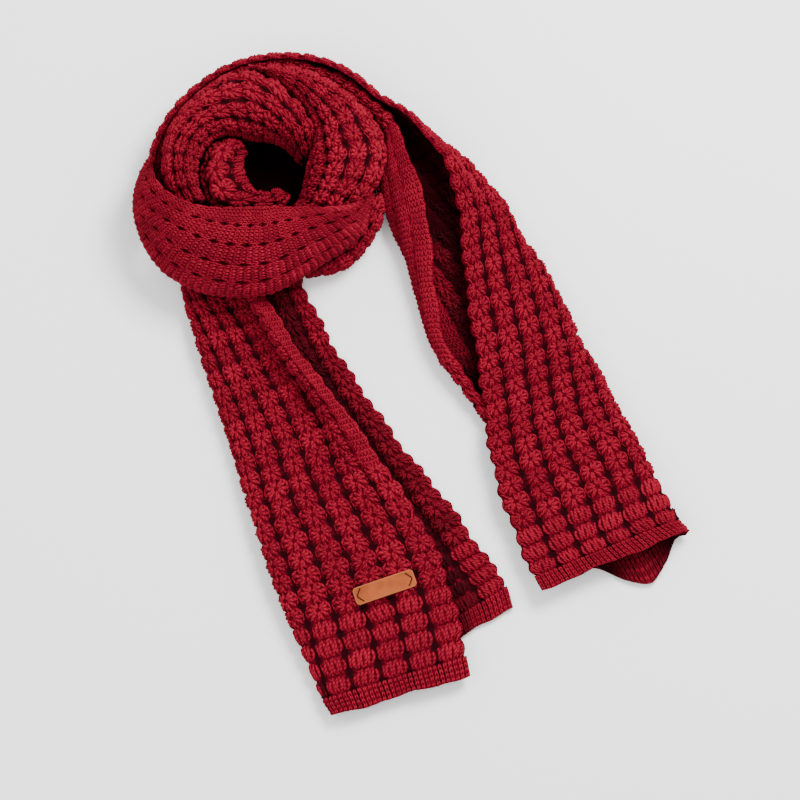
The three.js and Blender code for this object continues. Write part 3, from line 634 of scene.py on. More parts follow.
@dataclass(frozen=True)
class StitchChart:
    """The strands of one repeat of the pattern, drawn flat and in millimetres.

    Attributes:
        name: What the pattern is called.
        strands: Its strands.
        sides: Sides of the yarn's section.
    """

    name: str
    strands: tuple[Strand, ...]
    sides: int = 6

    def build(self) -> bpy.types.Object:
        """The repeat as one mesh of closed tubes, measured in ribs across and rows along."""
        points: list[np.ndarray] = []
        faces: list[tuple[int, ...]] = []
        places: list[tuple[float, float]] = []
        for strand in self.strands:
            self._tube(strand, points, faces, places)
        mesh = bpy.data.meshes.new(self.name)
        mesh.from_pydata((np.concatenate(points) / [RIB_PITCH, ROW_PITCH, 1 / MM]).tolist(), [], faces)
        layer = mesh.uv_layers.new(name="yarn")
        layer.data.foreach_set("uv", np.array(places).ravel())
        mesh.update()
        made = bpy.data.objects.new(self.name, mesh)
        bpy.context.scene.collection.objects.link(made)
        shade_smooth(made)
        return made

    def _tube(self, strand: Strand, points: list, faces: list, places: list) -> None:
        """Adds one strand's tube to the lists of points, faces and UV places."""
        path = evenly(np.array(strand.places, float), strand.steps)
        ahead = np.gradient(path, axis=0)
        ahead /= np.linalg.norm(ahead, axis=1, keepdims=True)
        side = np.cross(ahead, [0.0, 0.0, 1.0])
        side /= np.linalg.norm(side, axis=1, keepdims=True)
        up = np.cross(side, ahead)
        share = np.linspace(0, 1, len(path))
        radius = strand.radius * np.clip(np.sin(np.pi * share) ** 0.35, 0.45, 1)[:, None, None]
        turn = np.linspace(0, 2 * math.pi, self.sides, endpoint=False)[None, :, None]
        ring = path[:, None] + radius * (side[:, None] * np.cos(turn) + up[:, None] * np.sin(turn))
        start = sum(len(p) for p in points)
        points.append(ring.reshape(-1, 3))
        length = np.concatenate([[0], np.cumsum(np.linalg.norm(np.diff(path, axis=0), axis=1))])
        for i in range(len(path) - 1):
            for j in range(self.sides):
                k = (j + 1) % self.sides
                first, second = start + i * self.sides, start + (i + 1) * self.sides
                faces.append((first + j, first + k, second + k, second + j))
                low, high = j / self.sides, (j + 1) / self.sides
                places.extend([(length[i], low), (length[i], high), (length[i + 1], high), (length[i + 1], low)])
        faces.append(tuple(start + j for j in reversed(range(self.sides))))
        last = start + (len(path) - 1) * self.sides
        faces.append(tuple(last + j for j in range(self.sides)))
        places.extend([(0.0, 0.5)] * self.sides + [(float(length[-1]), 0.5)] * self.sides)


def puff(across: float, along: float) -> float:
    """The bobble's surface at a place in a chart, below the rib top."""
    height = dome(np.array(min(abs(across) / 13, 1.0)), np.array(min(max(along / ROW_PITCH + 0.5, 0.0), 1.0)))
    return -0.8 - 4.8 * (1 - float(height))


def spoke(eye: float, end: Place, bow: float) -> Strand:
    """A strand that runs from the edge of the bobble's eye over its round and tucks in at the end."""
    out = []
    for share, drop, lean in ((0.13, 1.9, 0.0), (0.36, 0.1, 0.8), (0.72, 0.0, 1.0), (1.0, 1.0, 0.1)):
        x, y = between((0.0, eye), end, share)
        out.append((x + bow * lean, y, puff(x, y) - drop))
    return Strand(tuple(out), 4, 1.85)


def leg(start: Place, end: Place, bow: float, height: float, steps: int = 4, radius: float = YARN / 2) -> Strand:
    """A short slanting strand: one leg of a plain knit stitch."""
    middle = ((start[0] + end[0]) / 2 + bow, (start[1] + end[1]) / 2)
    return Strand(((*start, height - 1.0), (*middle, height), (*end, height - 0.6)), steps, radius)


def bobble_chart() -> StitchChart:
    """Strands that spread from a small eye, and one that goes round the top."""
    eye = -2.2
    ends = (
        (0.8, -8.8, 0.9), (6.4, -7.8, 0.4), (10.8, -3.6, 1.1), (10.8, 2.4, 0.2), (7.0, 7.4, 1.2), (1.4, 9.2, -0.9),
        (-4.6, 8.4, 0.8), (-9.4, 5.0, -0.8), (-11.3, -0.6, -1.2), (-9.4, -5.6, 0.2), (-4.6, -8.4, -1.1),
    )
    strands = [spoke(eye, (x, y), bow) for x, y, bow in ends]
    right = [(10.0, 4.4), (11.2, -1.2), (9.8, -5.6), (5.6, -8.4)]
    outline = [(-x, y) for x, y in right] + [(0.0, -9.2)] + right[::-1]
    strands.append(Strand(tuple((x, y, puff(x, y) - 0.9) for x, y in outline), 12, 1.4))
    return StitchChart("bobble", tuple(strands), 4)


def pillow_chart() -> StitchChart:
    """A broad bobble, as near the hems: upright strands side by side, rounded over at both ends."""
    strands = []
    for number in range(7):
        x = (number - 3) * 3.2
        lean = 0.9 if number % 2 else -0.8
        low = -1.6 - 3.0 * (abs(x) / 11.0) ** 2.2
        long = 8.2 - 2.2 * (abs(x) / 9.6) ** 2 + (0.5 if number % 3 else -0.3)
        spread = x * 1.06
        places = (
            (x * 0.86 - lean, -long, low - 2.4), (x - lean * 0.4, -4.8, low + 0.1), (spread + lean, 0.6, low - 0.2),
            (x * 0.96, 4.8, low - 0.9), (x * 0.74 - lean, long, low - 2.6),
        )
        strands.append(Strand(places, 5, 1.8))
    return StitchChart("pillow", tuple(strands), 5)


def plain_chart() -> StitchChart:
    """Flat knit for a stretched rib: columns of V stitches, long strands beside the groove and across it."""
    wales, courses = 4, 3
    wide, long = 18.4 / wales, ROW_PITCH / courses
    strands = []
    for wale in range(wales):
        x = (wale + 0.5) * wide - 9.2
        height = -1.3 - 1.7 * (abs(x) / 11.0) ** 2.2
        for course in range(courses):
            y = (course - courses / 2) * long
            for way in (-1, 1):
                strands.append(leg((x, y), (x + way * wide * 0.46, y + long * 1.25), way * 0.5, height, 2))
    for side in (-1, 1):
        beside = ((side * 9.2, -8.6, -3.3), (side * 11.0, -2.8, -2.6), (side * 10.9, 3.2, -2.7), (side * 9.1, 8.4, -3.3))
        strands.append(Strand(beside, 4, 1.2))
    for y in (-1.6, 1.6):
        strands.append(Strand(((9.6, y, -3.4), (12.0, y + 0.5, -3.4), (14.2, y - 0.4, -3.4), (16.6, y, -3.4)), 3, 1.5))
    return StitchChart("plain", tuple(strands), 5)


def fine_rib_chart() -> StitchChart:
    """One column of V stitches, the repeat of a one by one rib, and its share of the bound edge."""
    courses = 4
    long = HEM_LENGTH / courses
    strands = [Strand(((-2.6, 9.0, -2.6), (0.0, 9.7, -1.4), (2.6, 9.1, -2.4)), 3, 1.4)]
    for course in range(courses):
        y = (course - courses / 2) * long
        for way in (-1, 1):
            strands.append(leg((way * 0.3, y), (way * 1.05, y + long * 1.25), way * 0.3, -1.1, 3, 1.0))
    return StitchChart("fine_rib", tuple(strands), 5)


def edge_chart() -> StitchChart:
    """The edge stitches of one row: three plump loops in a chain."""
    return StitchChart("edge", tuple(
        leg((-1.7, y), (1.6, y + 6.6), 0.7, -2.2, 5) for y in (-8.2, -2.7, 2.8)
    ), 6)


class TreeBuilder:
    """Makes a node tree's nodes by one method, for geometry and for materials."""

    def __init__(self, tree: bpy.types.NodeTree) -> None:
        """Keeps the tree."""
        self.tree = tree

    def node(self, kind: str, settings: dict | None = None, values: dict | None = None) -> bpy.types.Node:
        """Adds a node.

        Args:
            kind: The node's type.
            settings: Attributes of the node, which are set first.
            values: Values or links of its sockets, by name or number.

        Returns:
            The node.
        """
        made = self.tree.nodes.new(kind)
        for key, value in (settings or {}).items():
            setattr(made, key, value)
        for key, value in (values or {}).items():
            socket = self._input(made, key)
            if isinstance(value, Socket):
                value = value.link
            if isinstance(value, bpy.types.NodeSocket):
                self.tree.links.new(value, socket)
            else:
                socket.default_value = value
        return made

    @staticmethod
    def _input(made: bpy.types.Node, key: str | int) -> bpy.types.NodeSocket:
        """A node's input by its number, or the first enabled one of its name."""
        if isinstance(key, int):
            return made.inputs[key]
        return next(s for s in made.inputs if s.name == key and s.enabled)

    def out(self, kind: str, settings: dict | None = None, values: dict | None = None,
            output: str | int = 0) -> Socket:
        """Adds a node and returns one of its outputs, wrapped."""
        made = self.node(kind, settings, values)
        if isinstance(output, str):
            return Socket(self, next(s for s in made.outputs if s.name == output and s.enabled))
        return Socket(self, [s for s in made.outputs if s.enabled][output])


class Socket:
    """A number in a node tree, on which Python's operators add Math nodes."""

    def __init__(self, builder: TreeBuilder, link: bpy.types.NodeSocket) -> None:
        """Wraps a node's output."""
        self.builder = builder
        self.link = link

    def _math(self, operation: str, *others: Socket | float, turned: bool = False) -> Socket:
        """Adds a Math node on this number and others."""
        values = [self, *others]
        if turned:
            values.reverse()
        return self.builder.out("ShaderNodeMath", {"operation": operation}, dict(enumerate(values)))

    def __add__(self, other: Socket | float) -> Socket:
        """This plus other."""
        return self._math("ADD", other)

    __radd__ = __add__

    def __sub__(self, other: Socket | float) -> Socket:
        """This minus other."""
        return self._math("SUBTRACT", other)

    def __rsub__(self, other: Socket | float) -> Socket:
        """Other minus this."""
        return self._math("SUBTRACT", other, turned=True)

    def __mul__(self, other: Socket | float) -> Socket:
        """This times other."""
        return self._math("MULTIPLY", other)

    __rmul__ = __mul__

    def __truediv__(self, other: Socket | float) -> Socket:
        """This over other."""
        return self._math("DIVIDE", other)

    def __pow__(self, other: float) -> Socket:
        """This to a power."""
        return self._math("POWER", other)

    def sine(self) -> Socket:
        """Its sine."""
        return self._math("SINE")

    def size(self) -> Socket:
        """Its distance from 0."""
        return self._math("ABSOLUTE")

    def part(self) -> Socket:
        """What it has past a whole number."""
        return self._math("FRACT")

    def bearing(self, other: Socket) -> Socket:
        """The angle whose tangent is this over other."""
        return self._math("ARCTAN2", other)

    def least(self, other: Socket | float) -> Socket:
        """The lower of this and other."""
        return self._math("MINIMUM", other)

    def most(self, other: Socket | float) -> Socket:
        """The higher of this and other."""
        return self._math("MAXIMUM", other)

    def band(self, low: float, high: float) -> Socket:
        """A smooth rise from 0 at low to 1 at high."""
        return self.builder.out(
            "ShaderNodeMapRange",
            {"interpolation_type": "SMOOTHSTEP"},
            {"Value": self, "From Min": low, "From Max": high, "To Min": 0.0, "To Max": 1.0},
        )


@dataclass(frozen=True)
class Lattice:
    """Where a chart's repeats go on a stretch, in ribs across and rows along.

    Attributes:
        columns: Repeats across.
        rows: Repeats along.
        first: The first repeat's place.
        step: The distance between repeats.
        scale: The chart's scale across and along.
        turn: How far a repeat may be turned at random, in radians.
        spread: How far its size may vary at random.
        seed: The seed of both.
    """

    columns: int
    rows: int
    first: tuple[float, float] = (0.5, 0.5)
    step: tuple[float, float] = (1.0, 1.0)
    scale: tuple[float, float] = (1.0, 1.0)
    turn: float = 0.1
    spread: float = 0.07
    seed: int = 3


class YarnLayer:
    """The Geometry Nodes tree that lays a stitch chart on the cloth."""

    INPUTS = (
        ("Chart", "NodeSocketObject"), ("Cloth", "NodeSocketObject"), ("Yarn", "NodeSocketMaterial"),
        ("Columns", "NodeSocketInt"), ("Rows", "NodeSocketInt"), ("First", "NodeSocketVector"),
        ("Step", "NodeSocketVector"), ("Scale", "NodeSocketVector"), ("Extent", "NodeSocketVector"),
        ("Turn", "NodeSocketFloat"), ("Spread", "NodeSocketFloat"), ("Seed", "NodeSocketInt"),
        ("Jitter", "NodeSocketFloat"),
    )

    def __init__(self) -> None:
        """Builds the tree once, for every stretch."""
        self.tree = bpy.data.node_groups.new("lay_yarn", "GeometryNodeTree")
        self.build = TreeBuilder(self.tree)
        face = self.tree.interface
        self.identifiers = {
            name: face.new_socket(name, in_out="INPUT", socket_type=kind).identifier for name, kind in self.INPUTS
        }
        face.new_socket("Geometry", in_out="OUTPUT", socket_type="NodeSocketGeometry")
        self._wire()

    def _vector(self, operation: str, *values: Socket | tuple) -> Socket:
        """Adds a Vector Math node."""
        return self.build.out("ShaderNodeVectorMath", {"operation": operation}, dict(enumerate(values)))

    def _wire(self) -> None:
        """Adds the nodes: lattice, chosen repeats, their variation, and the lay on the cloth."""
        out = self.build.out
        given = self.build.node("NodeGroupInput")
        get = {s.name: Socket(self.build, s) for s in given.outputs if s.name}
        cloth = out("GeometryNodeObjectInfo", {}, {"Object": get["Cloth"]}, "Geometry")
        chart = out("GeometryNodeObjectInfo", {}, {"Object": get["Chart"]}, "Geometry")
        grid = out("GeometryNodeMeshGrid", {}, {
            "Size X": get["Columns"] - 1.0, "Size Y": get["Rows"] - 1.0,
            "Vertices X": get["Columns"], "Vertices Y": get["Rows"],
        }, "Mesh")
        half = self.build.out("ShaderNodeCombineXYZ", {}, {
            "X": (get["Columns"] - 1.0) * 0.5, "Y": (get["Rows"] - 1.0) * 0.5,
        })
        here = out("GeometryNodeInputPosition")
        stepped = self._vector("MULTIPLY", self._vector("ADD", here, half), get["Step"])
        lattice = out("GeometryNodeSetPosition", {}, {
            "Geometry": grid, "Position": self._vector("ADD", stepped, get["First"]),
        })
        shown = self._sample(cloth, "show", self._vector("DIVIDE", here, get["Extent"]))
        chosen = out("FunctionNodeCompare", {"data_type": "FLOAT", "operation": "GREATER_THAN"}, {
            "A": out("ShaderNodeSeparateXYZ", {}, {"Vector": shown}, "X"), "B": 0.46,
        })
        size = out("FunctionNodeRandomValue", {"data_type": "FLOAT"}, {
            "Min": 1.0 - get["Spread"], "Max": get["Spread"] + 1.0, "Seed": get["Seed"],
        })
        turn = out("FunctionNodeRandomValue", {"data_type": "FLOAT"}, {
            "Min": get["Turn"] * -1.0, "Max": get["Turn"], "Seed": get["Seed"] + 1.0,
        })
        scale = self._vector("MULTIPLY", get["Scale"], out("ShaderNodeCombineXYZ", {}, {"X": size, "Y": size, "Z": 1.0}))
        placed = out("GeometryNodeInstanceOnPoints", {}, {
            "Points": lattice, "Selection": chosen, "Instance": chart, "Scale": scale,
            "Rotation": out("FunctionNodeEulerToRotation", {}, {
                "Euler": out("ShaderNodeCombineXYZ", {}, {"Z": turn}),
            }),
        })
        tone = out("FunctionNodeRandomValue", {"data_type": "FLOAT"}, {
            "Min": 0.0, "Max": 1.0, "Seed": get["Seed"] + 2.0,
        })
        toned = out("GeometryNodeStoreNamedAttribute", {"data_type": "FLOAT", "domain": "INSTANCE"}, {
            "Geometry": placed, "Name": "tone", "Value": tone,
        })
        # Each repeat takes the cloth's lit share, the painted shade that the wool finish darkens it by.
        middle = self._vector("DIVIDE", here, get["Extent"])
        lit = out("ShaderNodeSeparateXYZ", {}, {"Vector": self._sample(cloth, "show", middle)}, "Y")
        shaded = out("GeometryNodeStoreNamedAttribute", {"data_type": "FLOAT", "domain": "INSTANCE"}, {
            "Geometry": toned, "Name": "lit", "Value": lit,
        })
        real = out("GeometryNodeRealizeInstances", {}, {"Geometry": shaded})
        laid = self._lay(real, cloth, here, get)
        dressed = out("GeometryNodeSetMaterial", {}, {"Geometry": laid, "Material": get["Yarn"]})
        self.build.node("NodeGroupOutput", {}, {"Geometry": dressed})

    def _sample(self, cloth: Socket, name: str, at: Socket) -> Socket:
        """A vector of the cloth, or its position, at a place in its UV map."""
        value = self.build.out("GeometryNodeInputPosition") if name == "position" else self._named(name)
        return self.build.out("GeometryNodeSampleUVSurface", {"data_type": "FLOAT_VECTOR"}, {
            "Mesh": cloth, "Value": value, "UV Map": self._named("cloth"), "Sample UV": at,
        })

    def _named(self, name: str) -> Socket:
        """A named vector attribute."""
        return self.build.out("GeometryNodeInputNamedAttribute", {"data_type": "FLOAT_VECTOR"}, {"Name": name})

    def _lay(self, real: Socket, cloth: Socket, here: Socket, get: dict[str, Socket]) -> Socket:
        """Moves the flat yarn on to the cloth, with a little unevenness."""
        out = self.build.out
        flat = self._vector("DIVIDE", here, get["Extent"])
        low, high = (0.0006, 0.0006, 0.0), (0.9994, 0.9994, 0.0)
        at = self._vector("MINIMUM", self._vector("MAXIMUM", flat, low), high)
        height = out("ShaderNodeSeparateXYZ", {}, {"Vector": here}, "Z")
        base = self._sample(cloth, "position", at)
        up = self._sample(cloth, "up", at)
        raised = out("ShaderNodeVectorMath", {"operation": "SCALE"}, {0: up, "Scale": height})
        wander = out("ShaderNodeTexNoise", {"noise_dimensions": "3D"}, {"Vector": base, "Scale": 190.0}, "Color")
        moved = out("ShaderNodeVectorMath", {"operation": "SCALE"}, {
            0: self._vector("SUBTRACT", wander, (0.5, 0.5, 0.5)), "Scale": get["Jitter"],
        })
        place = self._vector("ADD", self._vector("ADD", base, raised), moved)
        return out("GeometryNodeSetPosition", {}, {"Geometry": real, "Position": place})

    def lay(self, name: str, cloth: Cloth, helper: bpy.types.Object, chart: bpy.types.Object,
            lattice: Lattice, yarn: bpy.types.Material) -> bpy.types.Object:
        """Lays a chart on a stretch.

        Args:
            name: The new piece's name.
            cloth: The stretch.
            helper: Its helper sheet.
            chart: The chart's mesh.
            lattice: Where its repeats go.
            yarn: The yarn's material.

        Returns:
            The yarn as a plain mesh.
        """
        carrier = bpy.data.objects.new(name, bpy.data.meshes.new(name))
        bpy.context.scene.collection.objects.link(carrier)
        modifier = carrier.modifiers.new("yarn", "NODES")
        modifier.node_group = self.tree
        values = {
            "Chart": chart, "Cloth": helper, "Yarn": yarn, "Columns": lattice.columns, "Rows": lattice.rows,
            "First": (*lattice.first, 0.0), "Step": (*lattice.step, 1.0), "Scale": (*lattice.scale, 1.0),
            "Extent": (float(cloth.ribs), float(cloth.rows), 1.0), "Turn": lattice.turn,
            "Spread": lattice.spread, "Seed": lattice.seed, "Jitter": 0.0027,
        }
        for key, value in values.items():
            modifier[self.identifiers[key]] = value
        bpy.context.view_layer.update()
        graph = bpy.context.evaluated_depsgraph_get()
        mesh = bpy.data.meshes.new_from_object(carrier.evaluated_get(graph))
        mesh.name = name
        carrier.modifiers.clear()
        carrier.data = mesh
        floor = np.empty(len(mesh.vertices) * 3)
        mesh.vertices.foreach_get("co", floor)
        floor.reshape(-1, 3)[:, 2] = np.maximum(floor.reshape(-1, 3)[:, 2], 0.0002)
        mesh.vertices.foreach_set("co", floor)
        mesh.update()
        return carrier


Colour = tuple[float, float, float, float]


class Finish:
    """A material whose colour, roughness and relief come from nodes."""

    def __init__(self, name: str, roughness: float, gloss: float = 0.0) -> None:
        """Makes the material with its shader."""
        self.material = bpy.data.materials.new(name)
        self.material.use_nodes = True
        self.material.node_tree.nodes.clear()
        self.build = TreeBuilder(self.material.node_tree)
        self.shader = self.build.node("ShaderNodeBsdfPrincipled", {}, {"Roughness": roughness})
        self.shader.inputs["Specular IOR Level"].default_value = gloss
        self.build.node("ShaderNodeOutputMaterial", {}, {"Surface": self.shader.outputs[0]})

    def mix(self, share: Socket | float, low: Socket | Colour, high: Socket | Colour) -> Socket:
        """A colour between two."""
        node = self.build.node("ShaderNodeMix", {"data_type": "RGBA"}, {"Factor": share, "A": low, "B": high})
        return Socket(self.build, next(s for s in node.outputs if s.type == "RGBA" and s.enabled))

    def noise(self, at: Socket, scale: float, detail: float = 2.0) -> Socket:
        """Noise about 0.5."""
        return self.build.out("ShaderNodeTexNoise", {}, {"Vector": at, "Scale": scale, "Detail": detail}, "Fac")

    def object_place(self) -> Socket:
        """The place on the object."""
        return self.build.out("ShaderNodeTexCoord", {}, {}, "Object")

    def map_place(self, name: str) -> tuple[Socket, Socket, Socket]:
        """A UV map's place, and its two numbers."""
        at = self.build.out("ShaderNodeUVMap", {"uv_map": name})
        parts = self.build.node("ShaderNodeSeparateXYZ", {}, {"Vector": at})
        return at, Socket(self.build, parts.outputs[0]), Socket(self.build, parts.outputs[1])

    def number(self, name: str) -> Socket:
        """A number that the mesh carries under a name."""
        return self.build.out("ShaderNodeAttribute", {"attribute_name": name}, {}, "Fac")

    def colour(self, value: Socket) -> None:
        """Sets the base colour."""
        self.build.tree.links.new(value.link, self.shader.inputs["Base Color"])

    def relief(self, height: Socket, distance: float, strength: float = 1.0) -> None:
        """Sets a bump of the given depth in metres."""
        bump = self.build.node("ShaderNodeBump", {}, {"Strength": strength, "Distance": distance, "Height": height})
        self.build.tree.links.new(bump.outputs[0], self.shader.inputs["Normal"])


@dataclass(frozen=True)
class WoolFinish:
    """The yarn: spun plies with loose fibres and random tone, painted shade between the plies, a painted highlight on
    their crests, and near-black painted shade deep under a leaf.
    """

    bright: Colour = (0.265, 0.0078, 0.022, 1)
    deep: Colour = (0.095, 0.0027, 0.008, 1)
    # Painted highlight colour, laid on the crests of the plies.
    painted_highlight: Colour = (0.34, 0.024, 0.045, 1)
    # Painted shade colour, for yarn deep under a leaf.
    unlit: Colour = (0.012, 0.0012, 0.0026, 1)

    def build(self, name: str) -> bpy.types.Material:
        """Makes the material."""
        finish = Finish(name, 0.9, 0.03)
        _, length, around = finish.map_place("yarn")
        here = finish.object_place()
        # Painted shade between the plies: the twist's band darkens the colour in its troughs, as well as giving the
        # bump.
        ply = (around * (4 * math.pi) + length * 1.9).sine() * 0.5 + 0.5
        fibre = finish.noise(here, 1500.0, 3.0)
        patch = finish.noise(here, 90.0, 2.0)
        # Colour from random tone (fibre noise, patches, each repeat's tone) and from the plies' painted shade.
        mass = ply * 0.35 + fibre * 0.75 + patch * 0.35 + finish.number("tone") * 0.22 - 0.34
        body = finish.mix(mass.band(0.05, 0.95), self.deep, self.bright)
        # Painted highlight: paler pink where the ply's crest and the fibre noise are both high.
        body = finish.mix((fibre * ply).band(0.42, 0.75) * 0.5, body, self.painted_highlight)
        # Painted shade: the yarn goes towards near black where the cloth's lit share is low, deep under a leaf.
        finish.colour(finish.mix(finish.number("lit"), self.unlit, body))
        finish.relief(ply * 0.5 + fibre * 0.8, 0.0009, 0.8)
        return finish.material


@dataclass(frozen=True)
class GroundFinish:
    """The plain cloth under the yarn: red in the ribs, with painted shade nearly black in the grooves and holes of the
    pattern and deep under a leaf.

    Attributes:
        bridged: Whether only the holes between rows get the painted shade, as where the cloth is stretched.
    """

    bridged: bool = False
    red: Colour = (0.17, 0.005, 0.0145, 1)
    # Painted shade colour, for the grooves, the holes and places deep under a leaf.
    hole: Colour = (0.016, 0.0017, 0.0032, 1)

    def build(self, name: str) -> bpy.types.Material:
        """Makes the material."""
        finish = Finish(name, 0.95)
        _, across, along = finish.map_place("cloth")
        here = finish.object_place()
        rib = (across * math.pi).sine().size()
        row = (along * math.pi).sine().size()
        # Painted shade: the grooves and the holes between rows are darkened where shade falls in them, except where
        # the cloth is pulled flat.
        groove = (1 - rib).band(0.2, 0.75)
        if self.bridged:
            dark = groove * (1 - row).band(0.3, 0.9) * 0.8
        else:
            dark = (groove * ((1 - row) * 0.5 + 0.75).least(1.0)).most((1 - row).band(0.75, 1.0) * 0.55)
            dark = dark * (1 - finish.number("pulled"))
        side = (across.part() - 0.5) * RIB_PITCH
        up = (along.part() - 0.5) * ROW_PITCH + 1.4
        spread = (side.bearing(up) * 14.0).sine() * 0.5 + 0.5
        fibre = finish.noise(here, 1300.0, 3.0)
        body = (fibre * 0.8 + spread * 0.5).band(0.3, 1.0)
        red = finish.mix(body, tuple(c * 0.4 for c in self.red[:3]) + (1,), self.red)
        # Painted shade: towards near black in the grooves and holes, and where the lit share is low under a leaf.
        finish.colour(finish.mix(dark.most(1 - finish.number("lit")), red, self.hole))
        finish.relief(fibre * 0.6 + spread, 0.0014, 0.8)
        return finish.material


@dataclass(frozen=True)
class LeatherFinish:
    """The tag's tan leather: fine grain, darker handling in the middle and paler cut edges."""

    tan: Colour = (0.27, 0.055, 0.007, 1)
    dark: Colour = (0.19, 0.034, 0.004, 1)
    edge: Colour = (0.29, 0.085, 0.025, 1)

    def build(self, name: str, length: float, width: float) -> bpy.types.Material:
        """Makes the material for a tag of the given length and width in millimetres."""
        finish = Finish(name, 0.6, 0.2)
        _, along, across = finish.map_place("tag")
        here = finish.object_place()
        cells = finish.build.out("ShaderNodeTexVoronoi", {"feature": "DISTANCE_TO_EDGE"}, {
            "Vector": here, "Scale": 1500.0,
        }, "Distance")
        cloud = finish.noise(here, 60.0, 4.0)
        rim = ((along.size() - (length / 2 - 1.6)) / 1.6).most((across.size() - (width / 2 - 1.6)) / 1.6)
        body = finish.mix(cloud.band(0.3, 0.7), self.dark, self.tan)
        finish.colour(finish.mix(rim.band(0.0, 0.9), body, self.edge))
        finish.relief(cells.least(0.2) * 3.0 + cloud * 0.4, 0.0002, 0.6)
        return finish.material


@dataclass(frozen=True)
class PlainFinish:
    """An even finish with a little cloudiness, as dark in its clouds as a share of the base."""

    base: Colour
    roughness: float = 0.8
    scale: float = 300.0
    clouded: float = 0.75

    def build(self, name: str) -> bpy.types.Material:
        """Makes the material."""
        finish = Finish(name, self.roughness)
        cloud = finish.noise(finish.object_place(), self.scale, 3.0)
        dark = tuple(c * self.clouded for c in self.base[:3]) + (1,)
        finish.colour(finish.mix(cloud.band(0.3, 0.7), dark, self.base))
        finish.relief(cloud, 0.0001, 0.2)
        return finish.material


@dataclass
class Workroom:
    """What every piece of the scarf is made with: charts, finishes and the tree that lays yarn."""

    def __post_init__(self) -> None:
        """Draws the charts and mixes the finishes."""
        self.layer = YarnLayer()
        charts = (bobble_chart(), pillow_chart(), plain_chart(), fine_rib_chart(), edge_chart())
        self.charts = {chart.name: chart.build() for chart in charts}
        self.wool = WoolFinish().build("red_wool")
        self.ground = GroundFinish().build("knit_ground")
        self.stretched_ground = GroundFinish(bridged=True).build("stretched_ground")

    def clear(self) -> None:
        """Deletes the charts, which are no part of the scarf."""
        for chart in self.charts.values():
            bpy.data.objects.remove(chart)


